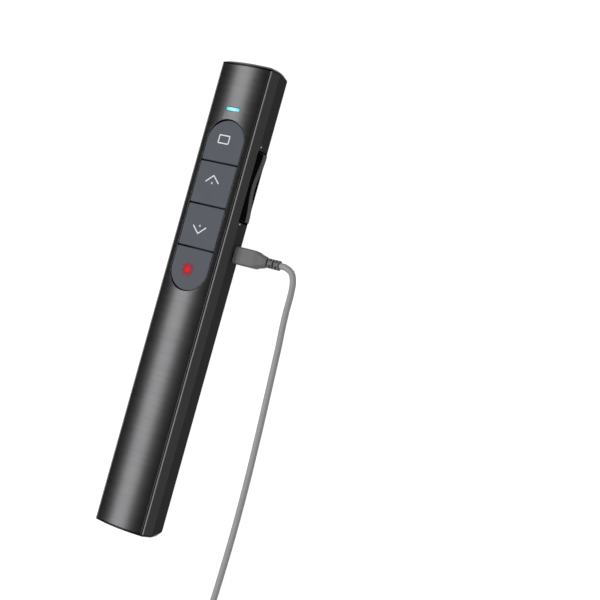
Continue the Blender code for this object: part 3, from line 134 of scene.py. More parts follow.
# Key strip and status light
KEYS = ("laser", "page_down", "page_up", "screen")
KEY_PITCH = 0.0138
KEY_SPACING = 0.00045
KEY_HALF_WIDTH = 0.00675
KEY_ROW_Y = 0.0287
KEY_ROW_HALF = 0.027375
KEY_CLEARANCE = 0.00022
KEY_TOP_Z = 0.01246
KEY_FLANGE_TOP_Z = 0.01062
KEY_FLANGE_FOOT_Z = 0.01002
KEY_FLANGE_REACH = 0.0007
KEY_FLANGE_INSET = 0.0002
KEY_CORNER = 0.0004
KEY_EDGE_ROUND = 0.00025
KEY_END_STEPS = 64
LIGHT_Y = 0.05965
LIGHT_HALF_LENGTH = 0.00235
LIGHT_HALF_WIDTH = 0.00050
LIGHT_CORNER = 0.00015
LIGHT_CLEARANCE = 0.00008
LIGHT_RECESS = 0.00004
LIGHT_FLANGE_HALF = (0.0032, 0.0012)
LIGHT_FLANGE_TOP_Z = 0.01151
LIGHT_FLANGE_THICKNESS = 0.0006
LIGHT_LEG_HALF = (0.0010, 0.0005)
LIGHT_LEG_FOOT_Z = 0.0087

# Marks on the keys
MARK_X = -0.0006
MARK_LINE = 0.00036
SCREEN_MARK_Y = 0.0499
SCREEN_MARK_SIZE = (0.00205, 0.00144, 0.0003)
ARROW_HALF_SPAN = 0.00245
ARROW_RISE = 0.0023
ARROW_DOT_RADIUS = 0.00035
ARROW_DOT_DROP = 0.00245
UP_ARROW_TIP_Y = 0.0382
DOWN_ARROW_TIP_Y = 0.01945
LASER_MARK_Y = 0.00788
LASER_CORE_HALF = (0.00105, 0.00130)
LASER_MARK_TURN = math.radians(13)
LASER_SPOT_COUNT = 8
LASER_RING_RADIUS = 0.00175
LASER_SPOT_RADIUS = 0.00048
LASER_GLOW_REACH = 0.0030

# End bezels and end plates
BEZEL_LIP = 0.0004
BEZEL_SPIGOT_Y = 0.0706
BEZEL_SPIGOT_INSET = 0.0018
BEZEL_BORE_INSET = 0.0029
BEZEL_BORE_ROOF_Z = 0.0097
BEZEL_EDGE_ROUND = 0.00012
BEZEL_STEPS = 3
PLATE_FAR_Y = 0.07495
PLATE_CLEARANCE = 0.00012
PLATE_EDGE = 0.00007
LASER_Z = 0.0063
LASER_HOLE_RADIUS = 0.0013

# Volume rocker
ROCKER_Y = 0.0377
ROCKER_HALF_LENGTH = 0.0112
ROCKER_BACK_X = 0.0090
ROCKER_FOOT_Z = 0.0035
ROCKER_FACE_TOP_Z = 0.0062
ROCKER_TOP_Z = 0.0082
ROCKER_TOP_SLOPE = 0.00065
ROCKER_DIP = 0.00025
ROCKER_RISE = 0.00100
ROCKER_END_ROUND = 0.0008
ROCKER_END_DROP = 0.00025
ROCKER_FOOT_ROUND = 0.00065
ROCKER_FACE_ROUND = 0.00045
ROCKER_TOP_ROUND = 0.00012
ROCKER_CAP_ROUND = 0.00015
ROCKER_RINGS = 36
ROCKER_END_STEPS = 8
ROCKER_SHADE_NORMAL = 0.3
ROCKER_SHADE_Z = 0.0047
ROCKER_PIN_X = 0.00845
ROCKER_BORE_RADIUS = 0.00065
PIN_SEAT_FOOT_Z = 0.0022
PIN_SEAT_TOP_Z = 0.00935

# Receiver in the tail
RECEIVER_Z = 0.0063
RECEIVER_SIZE = (0.0067, 0.0028, 0.0008)
RECEIVER_TAIL_Y = -0.07495
RECEIVER_BODY_END_Y = -0.06795
RECEIVER_EDGE_ROUND = 0.00025
RECEIVER_GROOVE_COUNT = 5
RECEIVER_GROOVE_PITCH = 0.0009
RECEIVER_GROOVE_SIZE = (0.00018, 0.0017, 0.00018)
RECEIVER_GROOVE_DEPTH = 0.00022
USB_SIZE = (0.0060, 0.00225, 0.0006)
USB_WALL = 0.0004
USB_MOUTH_ROUND = 0.00012
USB_WINDOW_X = 0.0023
USB_WINDOW_SIZE = (0.0010, 0.0012, 0.00012)
USB_WINDOW_FROM_MOUTH = 0.0060
USB_SEAM_HALF_WIDTH = 0.00006
USB_TONGUE_ROUND = 0.00015
USB_CONTACT_PITCH = 0.0022
USB_CONTACT_COUNT = 4
USB_CONTACT_HALF_WIDTH = 0.0005
USB_CONTACT_RISE = 0.00006
USB_CONTACT_END = 0.0007
USB_CONTACT_HALF_LENGTH = 0.0035

# Board, battery and tie
CHIP_PINS = {"control_chip": 8, "radio_chip": 5}
PIN_HALF_WIDTH = 0.00011
PIN_REACH = 0.00050
PIN_THICKNESS = 0.00012
PIN_KNEE = 0.00018
PIN_SHOULDER_Z = 0.00820
BOARD_TOP_Z = 0.0075
BOARD_PART_HALF = (0.00050, 0.00026)
BOARD_PART_HEIGHT = 0.00045
BOARD_PART_ROUND = 0.00006
BOARD_PARTS_X = (-0.0052, -0.0036, 0.0036, 0.0052)
BOARD_PARTS_Y = (0.0128, 0.0146, 0.0268, 0.0404, 0.0422, 0.0556)
SCREW_COUNT = 4
SCREW_SLOT_HALF = (0.00075, 0.00014)
SCREW_SLOT_DEPTH = 0.00035
TAPE_LENGTH = 0.0042
TAPE_THICKNESS = 0.00006
TAPE_CORNER = 0.0006
FOAM_CORNER = 0.0008
FOAM_EDGE = 0.00022
TIE_THICKNESS = 0.0004
TIE_EDGE_ROUND = 0.00010
TIE_TAB_SIZE = (0.0029, 0.0021, 0.0016)
TIE_TAB_THICKNESS = 0.00045

# Charging lead, as the solids lie
CORD_DIAMETER = 0.0020
CORD_SPACING = 0.0012
CORD_SIDE_STEPS = 6
COIL_CENTRE = (0.0179, -0.1128)
COIL_MEAN_RADIUS = 0.0115
COIL_TURNS = 4.75
COIL_LOOP_POINTS = 72
COIL_CLIMB_TURNS = 0.5
COIL_STEP = 0.0025
COIL_FOOT_Z = 0.00172
COIL_TOP_Z = 0.00417
PLUG_Y = 0.0162
PLUG_Z = 0.0047
PLUG_FRONT_X = 0.0106
PLUG_END_X = 0.0264
PLUG_SIZE = (0.00275, 0.0023, 0.0007)
PLUG_FLANGE = 0.0006
PLUG_GROOVE = 0.00020
PLUG_BLOCK_END_X = 0.0179
PLUG_TAPER_END_X = 0.0220
PLUG_TAPER_STEPS = 12
PLUG_TAPER_EASE = 1 / 18
PLUG_EDGE_ROUND = 0.00012
JOINT_FLAT = 0.00002
RELIEF_RADIUS = 0.00112
RELIEF_SIZE = (RELIEF_RADIUS, RELIEF_RADIUS, RELIEF_RADIUS - JOINT_FLAT)
RELIEF_NECK_RADIUS = 0.00149
RELIEF_RIB_RADIUS = 0.00155
RELIEF_RIB_COUNT = 4
RELIEF_RIB_PITCH = 0.0011
RELIEF_RIB_WIDTH = 0.0005
RELIEF_BRIDGE_ANGLE = math.radians(24)
RELIEF_SLOPE = 0.00006
USB_PLUG_X = 0.0460
USB_PLUG_Y = -0.1145
USB_PLUG_Z = 0.0038
USB_PLUG_SIZE = (0.0078, 0.0038, 0.0014)
USB_PLUG_EDGE_ROUND = 0.0006
USB_PLUG_LENGTH = 0.0160
USB_RELIEF_LENGTH = 0.0050
USB_RELIEF_SIZE = (0.0019, 0.0019, 0.00188)
USB_GRIP_COUNT = 6
USB_GRIP_PITCH = 0.0016
USB_GRIP_DEPTH = 0.00025
USB_GRIP_STEPS = 8
CORD_ROUTE = (
    (0.0282, 0.0162, 0.0047),
    (0.0309, 0.0150, 0.0046),
    (0.0321, 0.0121, 0.0042),
    (0.0319, 0.0078, 0.0031),
    (0.0312, 0.0028, 0.0018),
    (0.0311, -0.0025, 0.0011),
    (0.0315, -0.0085, 0.0010),
    (0.0321, -0.0200, 0.0010),
    (0.0328, -0.0340, 0.0010),
    (0.0334, -0.0500, 0.0010),
    (0.0336, -0.0660, 0.0010),
    (0.0333, -0.0820, 0.0010),
    (0.0327, -0.0960, 0.0010),
    (0.0324, -0.1040, 0.0013),
)
LEAD_OUT_ROUTE = (
    (0.0280, -0.0983, 0.0042),
    (0.0330, -0.0986, 0.0041),
    (0.0372, -0.0996, 0.0031),
    (0.0410, -0.1014, 0.0017),
    (0.0438, -0.1040, 0.0011),
    (0.0454, -0.1074, 0.0018),
    (0.0460, -0.1106, 0.0031),
)

# Materials: the middle range of noise, threads to a wave, and the sockets of a Mix node that mixes colours
NOISE_LOW = 0.3
NOISE_HIGH = 0.7
WAVE_THREADS = 3.0
MIX_FIRST, MIX_SECOND, MIX_RESULT = 6, 7, 2
WHITE = (1.0, 1.0, 1.0)

# Camera, at the photograph's viewing angle
CAMERA_PLACE = (0.21479, -0.00202, 0.33789)
CAMERA_BACK = (0.4721, -0.0257, 0.8812)
CAMERA_UP = (-0.2233, 0.9635, 0.1477)
CAMERA_LENS_MM = 75.0
CAMERA_SENSOR_MM = 36.0
CAMERA_CLIP_START = 0.01

# Floor and light
FLOOR_WIDTH = 30.0
FLOOR_DROP = 0.00002
FLOOR_LIFT = 0.95
WORLD_STRENGTH = 0.05
LAMPS = (
    # name, place, size, power
    ("key_lamp", (-0.355, 0.02, 0.585), (0.9, 0.31), 3.9),
    ("fill_lamp", (0.53, -0.05, 0.40), (0.4, 0.4), 1.7),
)


# Curves


def eased(share):
    """A share from 0 to 1 with a soft start and stop."""
    return (1 - math.cos(math.pi * share)) / 2


def smooth_path(points):
    """Points about CORD_SPACING apart along a smooth curve through the given ones."""
    fixed = [np.array(p) for p in points]
    fixed = [2 * fixed[0] - fixed[1], *fixed, 2 * fixed[-1] - fixed[-2]]
    path = [fixed[1]]
    for before, start, end, after in zip(fixed, fixed[1:], fixed[2:], fixed[3:]):
        steps = max(1, round(np.linalg.norm(end - start) / CORD_SPACING))
        for t in np.linspace(0, 1, steps + 1)[1:]:
            bend = 2 * before - 5 * start + 4 * end - after
            twist = 3 * start - before - 3 * end + after
            path.append(start + ((end - before) * t + bend * t**2 + twist * t**3) / 2)
    return path


def coil_points():
    """The winding: it spirals in on the floor, climbs where it reverses and spirals out on top."""
    points = []
    swing = COIL_STEP * COIL_TURNS / 4
    for step in range(round(COIL_TURNS * COIL_LOOP_POINTS) + 1):
        turns = step / COIL_LOOP_POINTS
        angle = -2 * math.pi * turns
        from_middle = turns - COIL_TURNS / 2
        radius = COIL_MEAN_RADIUS - swing + COIL_STEP * abs(from_middle)
        climb = eased(min(max(from_middle + COIL_CLIMB_TURNS / 2, 0.0) / COIL_CLIMB_TURNS, 1.0))
        x = COIL_CENTRE[0] + radius * math.cos(angle)
        y = COIL_CENTRE[1] + radius * math.sin(angle)
        points.append(np.array((x, y, COIL_FOOT_Z + (COIL_TOP_Z - COIL_FOOT_Z) * climb)))
    return [points[0] + (0, CORD_DIAMETER, 0), *points, points[-1] + (CORD_DIAMETER, 0, 0)]


def lead_points():
    """The whole lead, from the charging plug through the coil to the far plug."""
    coil = coil_points()
    start = (PLUG_END_X, PLUG_Y, PLUG_Z)
    arrive = coil[0] + (0, GAP + CORD_DIAMETER, 0)
    free = smooth_path((start, *CORD_ROUTE, arrive, coil[0] + (0, GAP, 0)))
    begin = coil[-1] + (GAP, 0, 0)
    near = (USB_PLUG_X, USB_PLUG_Y + GAP + CORD_DIAMETER, USB_PLUG_Z)
    far = (USB_PLUG_X, USB_PLUG_Y, USB_PLUG_Z)
    out = smooth_path((begin, begin + (CORD_DIAMETER, 0, 0), *LEAD_OUT_ROUTE, near, far))
    return [(x, y, max(z, CORD_DIAMETER / 2)) for x, y, z in [*free, *coil, *out]]


# Outlines


def arc(centre, radius, start, stop, segments):
    """Points along an arc, both ends included; angles in radians."""
    angles = np.linspace(start, stop, segments + 1)
    return [(centre[0] + radius * math.cos(a), centre[1] + radius * math.sin(a)) for a in angles]


def circle(centre, radius, segments=CIRCLE_SEGMENTS):
    """A closed ring of points."""
    return arc(centre, radius, 0.0, 2 * math.pi, segments)[:-1]


def rounded_rectangle(centre, half_u, half_v, radius, steps=ROUND_STEPS):
    """A rectangle with round corners, anticlockwise from its right side."""
    points = []
    for k, (side_u, side_v) in enumerate(((1, 1), (-1, 1), (-1, -1), (1, -1))):
        corner = (centre[0] + side_u * (half_u - radius), centre[1] + side_v * (half_v - radius))
        points += arc(corner, radius, k * math.pi / 2, (k + 1) * math.pi / 2, steps)
    return points


def spaced(count, pitch, middle=0.0):
    """Places a pitch apart, evenly about a middle."""
    return [middle + (index - (count - 1) / 2) * pitch for index in range(count)]


def inset(points, distance):
    """A closed anticlockwise outline, each side moved inwards by distance."""
    if not distance:
        return list(points)
    spots = np.array(points)
    before = spots - np.roll(spots, 1, axis=0)
    after = np.roll(spots, -1, axis=0) - spots
    before /= np.linalg.norm(before, axis=1)[:, None]
    after /= np.linalg.norm(after, axis=1)[:, None]
    inwards = np.stack((-before[:, 1] - after[:, 1], before[:, 0] + after[:, 0]), axis=1)
    share = distance / (1 + (before * after).sum(axis=1))
    return [tuple(p) for p in spots + inwards * share[:, None]]


def fillet(corners, steps):
    """The points of each (point, radius) corner of a closed outline; one of no radius stays one point."""
    points = [Vector(point) for point, _ in corners]
    made = []
    for index, (corner, (_, radius)) in enumerate(zip(points, corners)):
        if not radius:
            made.append([tuple(corner)])
            continue
        back = (points[index - 1] - corner).normalized()
        onward = (points[(index + 1) % len(points)] - corner).normalized()
        half = math.acos(max(min(back.dot(onward), 1.0), -1.0)) / 2
        reach = radius / math.tan(half)
        centre = corner + (back + onward).normalized() * radius / math.sin(half)
        begin, end = (corner + way * reach - centre for way in (back, onward))
        first = math.atan2(begin.y, begin.x)
        turn = (math.atan2(end.y, end.x) - first + math.pi) % (2 * math.pi) - math.pi
        made.append(arc(centre, radius, first, first + turn, steps))
    return made


def rounded(corners, held=0.0):
    """A closed outline from (point, radius) corners that held has moved inwards."""
    radii = [r and max(r - held, LEAST_ROUND) for _, r in corners]
    runs = fillet([(p, r) for (p, _), r in zip(corners, radii)], ROUND_STEPS)
    return [point for run in runs for point in run]


def roll(radius, steps=RIM_STEPS):
    """(depth, inset) pairs down a rounded edge, from the face to the side; one pair for a sharp edge."""
    angles = np.linspace(0, math.pi / 2, steps + 1) if radius else [0.0]
    return [(radius * (1 - math.cos(a)), radius * (1 - math.sin(a))) for a in angles]


def rim(face, way, outline, radius, steps=RIM_STEPS, side=1):
    """Stations from the side to a face over its rounded edge; side is -1 where the body lies outside."""
    edge = reversed(roll(radius, steps))
    return [(face - way * depth, inset(outline, side * held)) for depth, held in edge]


# The case's section


def arch_z(x, depth=0.0):
    """Height of the cover's arch at x, or of the arch that lies depth below it."""
    return CASE_HEIGHT - ARCH_RADIUS + math.sqrt((ARCH_RADIUS - depth) ** 2 - x**2)


def case_corners():
    """The case's outside below the creases, anticlockwise from the left one, with each corner's radius."""
    run = CHIN_X - LAND_X
    bend = (run**2 + CHIN_Z**2) / (2 * CHIN_Z)
    lean = math.asin(run / bend)
    belly = arc((LAND_X, bend), bend, -math.pi / 2, lean - math.pi / 2, BELLY_SEGMENTS)
    right = [
        *((p, 0.0) for p in belly[:-1]),
        ((CHIN_X, CHIN_Z), CHIN_ROUND),
        ((CASE_HALF_WIDTH, SIDE_FOOT_Z), FOOT_ROUND),
        ((CASE_HALF_WIDTH, SIDE_TOP_Z), SIDE_ROUND),
        ((CREASE_X, CREASE_Z), CREASE_ROUND),
    ]
    return [((-x, z), radius) for (x, z), radius in reversed(right)] + right


def crown_arc(corner_x, distance):
    """The arch moved inwards by distance, from its right corner to its left one."""
    radius = ARCH_RADIUS - distance
    swing = math.asin(corner_x / radius)
    top = math.pi / 2
    return arc((0.0, CASE_HEIGHT - ARCH_RADIUS), radius, top - swing, top + swing, CROWN_SEGMENTS)


def crease_corner(distance):
    """Where the right side's upper face meets the arch when both are moved inwards by distance."""
    foot = Vector((CASE_HALF_WIDTH, SIDE_TOP_Z))
    along = (Vector((CREASE_X, CREASE_Z)) - foot).normalized()
    foot += distance * Vector((-along.y, along.x)) - Vector((0.0, CASE_HEIGHT - ARCH_RADIUS))
    slant = foot.dot(along)
    reach = math.sqrt(slant**2 - foot.length_squared + (ARCH_RADIUS - distance) ** 2) - slant
    met = foot + reach * along
    return met.x, met.y + CASE_HEIGHT - ARCH_RADIUS


def case_section(distance=0.0, roof=CASE_HEIGHT):
    """The whole outside of the case seen from the tail, moved inwards by distance and held below a roof."""
    lower = case_corners()
    corners = lower + [(p, 0.0) for p in crown_arc(CREASE_X, 0.0)[1:-1]]
    points = inset([p for p, _ in corners], distance)
    x, z = crease_corner(distance)
    points[0] = (-x, z)
    points[len(lower) - 1 :] = [(x, z), *crown_arc(x, distance)[1:-1]]
    outline = rounded([(p, r) for p, (_, r) in zip(points, corners)], distance)
    return [(x, min(z, roof)) for x, z in outline]


class End(NamedTuple):
    """One end of the case: where its shells, ring and plate lie, measured from the middle."""

    name: str
    way: int
    shell: float
    flange: float
    chamfer: float
    shelf: float
    plate: float
    held: float
    rake: float
    taper: float

    def spot(self, x, z, y, raked, tapered):
        """A point y out from the middle, cut back and drawn in below the side's upper edge."""
        low = min(max((SIDE_TOP_Z - z) / (SIDE_TOP_Z - CHIN_Z), 0.0), 1.0)
        return x * (1 - tapered * self.taper * low), self.way * (y - raked * self.rake * low), z

    def ring(self, y, distance, roof=CASE_HEIGHT, raked=0.0, tapered=0.0):
        """The case's section moved inwards by a distance, y out from the middle."""
        return [self.spot(x, z, y, raked, tapered) for x, z in case_section(distance, roof)]


HEAD = End(
    name="head",
    way=1,
    shell=0.07375,
    flange=0.07385,
    chamfer=0.07430,
    shelf=0.0740,
    plate=0.0743,
    held=0.0013,
    rake=0.0012,
    taper=0.08,
)
TAIL = End(
    name="tail",
    way=-1,
    shell=0.07438,
    flange=0.07445,
    chamfer=0.07472,
    shelf=0.07462,
    plate=0.07466,
    held=0.00035,
    rake=0.0020,
    taper=0.16,
)


# Bodies


def close_ring(build, low, high):
    """Joins two rings of vertices with quads."""
    for a, b, c, d in zip(low, low[1:] + low[:1], high[1:] + high[:1], high):
        build.faces.new((a, b, c, d))


def skin(rings, closed=False, strips=False):
    """A body over rings: joined last to first, or with ends of one face or of strips across a ring."""
    build = bmesh.new()
    rows = [[build.verts.new(p) for p in ring] for ring in rings]
    for low, high in zip(rows, rows[1:] + rows[:closed]):
        close_ring(build, low, high)
    for row in () if closed else (rows[0], rows[-1]):
        if strips:
            for a, b, c, d in zip(row, row[1:], row[-2::-1], row[: len(row) // 2 : -1]):
                build.faces.new((a, b, c, d))
        else:
            build.faces.new(row)
    return build


def loft(axis, stations, closed=False):
    """A body skinned over (place, outline) stations along an axis, outlines in X, Y, Z order."""
    at = "XYZ".index(axis)
    return skin([[(*spot[:at], w, *spot[at:]) for spot in outline] for w, outline in stations], closed)


def prism(axis, outline, low, high, edge=0.0):
    """An outline extruded from low to high along an axis, its end edges rounded by edge."""
    return loft(axis, rim(low, -1, outline, edge)[::-1] + rim(high, 1, outline, edge))


def hoop(axis, outer, inner, low, high, edge=0.0):
    """A band between two outlines from low to high along an axis, its end edges rounded by edge."""
    outside = rim(low, -1, outer, edge)[::-1] + rim(high, 1, outer, edge)
    lining = rim(high, 1, inner, edge, side=-1)[::-1] + rim(low, -1, inner, edge, side=-1)
    return loft(axis, outside + lining, closed=True)


def slab(x, y, half_x, half_y, low, high, edge=0.0):
    """A box about a place on the plan, its foot and top edges rounded by edge."""
    left, right, near, far = x - half_x, x + half_x, y - half_y, y + half_y
    return prism("Z", [(right, near), (right, far), (left, far), (left, near)], low, high, edge)


def box_of(name):
    """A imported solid's lowest and highest corners, its middle and its half size."""
    low, high = (tuple(corner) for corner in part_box(name))
    middle = tuple((a + b) / 2 for a, b in zip(low, high))
    half = tuple((b - a) / 2 for a, b in zip(low, high))
    return low, high, middle, half


def solid_of(name):
    """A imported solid's own body, with its doubled corners joined."""
    solid = bmesh.new()
    solid.from_mesh(NODES[name].data)
    bmesh.ops.remove_doubles(solid, verts=solid.verts, dist=WELD_REACH)
    return solid


def mesh_of(name, build, paint=None):
    """A body's mesh, its normals outwards and each face with the finish that paint picks."""
    bmesh.ops.recalc_face_normals(build, faces=build.faces)
    if build.calc_volume(signed=True) < 0:
        bmesh.ops.reverse_faces(build, faces=build.faces)
    if paint:
        for face in build.faces:
            face.material_index = paint(face)
    mesh = bpy.data.meshes.new(name)
    build.to_mesh(mesh)
    build.free()
    return mesh


def merged(*builds):
    """Separate bodies in one mesh."""
    whole = bmesh.new()
    for build in builds:
        mesh = mesh_of("part", build)
        whole.from_mesh(mesh)
        bpy.data.meshes.remove(mesh)
    return whole


def put(name, data):
    """A new object in the scene."""
    made = bpy.data.objects.new(name, data)
    bpy.context.scene.collection.objects.link(made)
    return made


def worked(build, *changes):
    """A body after (operation, tool body) changes, one after the other."""
    target = put("helper", mesh_of("helper", build))
    tools = []
    for operation, tool in changes:
        tools.append(put("helper", mesh_of("helper", tool)))
        change = target.modifiers.new("change", "BOOLEAN")
        change.operation = operation
        change.solver = "EXACT"
        change.object = tools[-1]
    made = bmesh.new()
    made.from_object(target, bpy.context.evaluated_depsgraph_get())
    for used in [target, *tools]:
        bpy.data.objects.remove(used)
    return made


def cut(build, *tools):
    """A body with tool bodies cut out of it."""
    return worked(build, *(("DIFFERENCE", tool) for tool in tools))


# Pieces


def smooth_over(target, edge):
    """Rounds a piece's sharp edges by edge and weights its normals."""
    if edge:
        ease = target.modifiers.new("soft_edges", "BEVEL")
        ease.width = edge
        ease.segments = 2
        ease.limit_method = "ANGLE"
        ease.angle_limit = EDGE_ANGLE
        ease.use_clamp_overlap = True
    even = target.modifiers.new("even_normals", "WEIGHTED_NORMAL")
    even.keep_sharp = True


def declare(piece, body, slot, *nodes):
    """Makes a piece ride on a body and has it stand for CAD nodes; its slot is not used."""
    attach(piece, body)
    if nodes:
        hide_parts(*nodes)


def add_piece(name, build, finish, body, *nodes, sharp=SHARP_ANGLE, edge=0.0, paint=None):
    """Makes a body a piece, in a finish or in several that paint picks from."""
    names = [finish] if isinstance(finish, str) else finish
    mesh = mesh_of(name, build, paint)
    mesh.shade_smooth()
    mesh.set_sharp_from_angle(angle=sharp)
    for entry in names:
        mesh.materials.append(LOOK[entry])
    made = put(name, mesh)
    smooth_over(made, edge)
    declare(made, body, SLOTS.get(names[0], names[0]), *nodes)
    return made


# Finishes


class Finish:
    """A node material, built a step at a time around one Principled shader; lengths in metres."""

    def __init__(self, name, colour, roughness, metallic=0.0, specular=0.5):
        LOOK[name] = self.material = bpy.data.materials.new(name)
        self.material.use_nodes = True
        self.tree = self.material.node_tree
        self.shader = self.tree.nodes["Principled BSDF"]
        self.place = self.node("TexCoord", "Object")
        self.feed({"Base Color": (*colour, 1.0), "Roughness": roughness})
        self.feed({"Metallic": metallic, "Specular IOR Level": specular})

    def feed(self, values, target=None):
        """Sets a node's sockets by name, or links them where the value is another node's socket."""
        target = target or self.shader
        for name, value in values.items():
            if isinstance(value, bpy.types.NodeSocket):
                self.tree.links.new(value, target.inputs[name])
            else:
                target.inputs[name].default_value = value
        return self

    def node(self, kind, result, values=(), **settings):
        """A new node's result, with its settings and what feeds its sockets."""
        made = self.tree.nodes.new("ShaderNode" + kind)
        for name, value in settings.items():
            setattr(made, name, value)
        self.feed(dict(values), made)
        return made.outputs[result]

    def noise(self, size, detail=2.0, stretch=(1.0, 1.0, 1.0)):
        """Noise with features about a size across, stretched along the axes."""
        scale = tuple(1 / (size * k) for k in stretch)
        spot = self.node("Mapping", "Vector", {"Vector": self.place, "Scale": scale})
        return self.node("TexNoise", "Fac", {"Vector": spot, "Scale": 1.0, "Detail": detail})

    def weave(self, pitch):
        """Threads that cross over and under, about pitch apart."""
        feed = {"Vector": self.place, "Scale": 1 / pitch / WAVE_THREADS}
        threads = [self.node("TexWave", "Fac", feed, bands_direction=axis) for axis in ("X", "Y")]
        return self.node("Math", "Value", enumerate(threads), operation="MULTIPLY")

    def spread(self, source, low, high):
        """The source's middle range mapped between two values."""
        limits = {"From Min": NOISE_LOW, "From Max": NOISE_HIGH, "To Min": low, "To Max": high}
        return self.node("MapRange", "Result", {"Value": source, **limits})

    def fade(self, centre, reach, high=1.0):
        """A value that falls from high at a point to nothing at reach from it."""
        back = tuple(-c for c in centre)
        moved = self.node("Mapping", "Vector", {"Vector": self.place, "Location": back})
        away = self.node("VectorMath", "Value", {"Vector": moved}, operation="LENGTH")
        limits = {"From Max": reach, "To Min": high, "To Max": 0.0}
        return self.node("MapRange", "Result", {"Value": away, **limits}, interpolation_type="SMOOTHSTEP")

    def mixed(self, factor, first, second):
        """A colour between two others."""
        ends = {MIX_FIRST: (*first, 1.0), MIX_SECOND: (*second, 1.0)}
        return self.node("Mix", MIX_RESULT, {"Factor": factor, **ends}, data_type="RGBA")

    def rough(self, low, high, *grain):
        """Roughness that varies with noise of a grain."""
        return self.feed({"Roughness": self.spread(self.noise(*grain), low, high)})

    def colours(self, dark, light, *grain):
        """Base colour that varies between two colours with noise of a grain."""
        return self.blend(self.spread(self.noise(*grain), 0.0, 1.0), dark, light)

    def blend(self, factor, first, second):
        """Base colour that goes from one to another as a factor goes from 0 to 1."""
        return self.feed({"Base Color": self.mixed(factor, first, second)})

    def bump(self, depth, strength, *grain):
        """Fine relief of noise of a grain."""
        return self.relief(self.noise(*grain), depth, strength)

    def relief(self, source, depth, strength):
        """Fine relief from a source."""
        raised = self.node("Bump", "Normal", {"Height": source, "Strength": strength, "Distance": depth})
        return self.feed({"Normal": raised})

    def glow(self, strength, rim_colour, core, factor):
        """Light of its own, from one colour at its rim to another at its core."""
        colour = self.mixed(factor, rim_colour, core)
        return self.feed({"Emission Color": colour, "Emission Strength": strength})


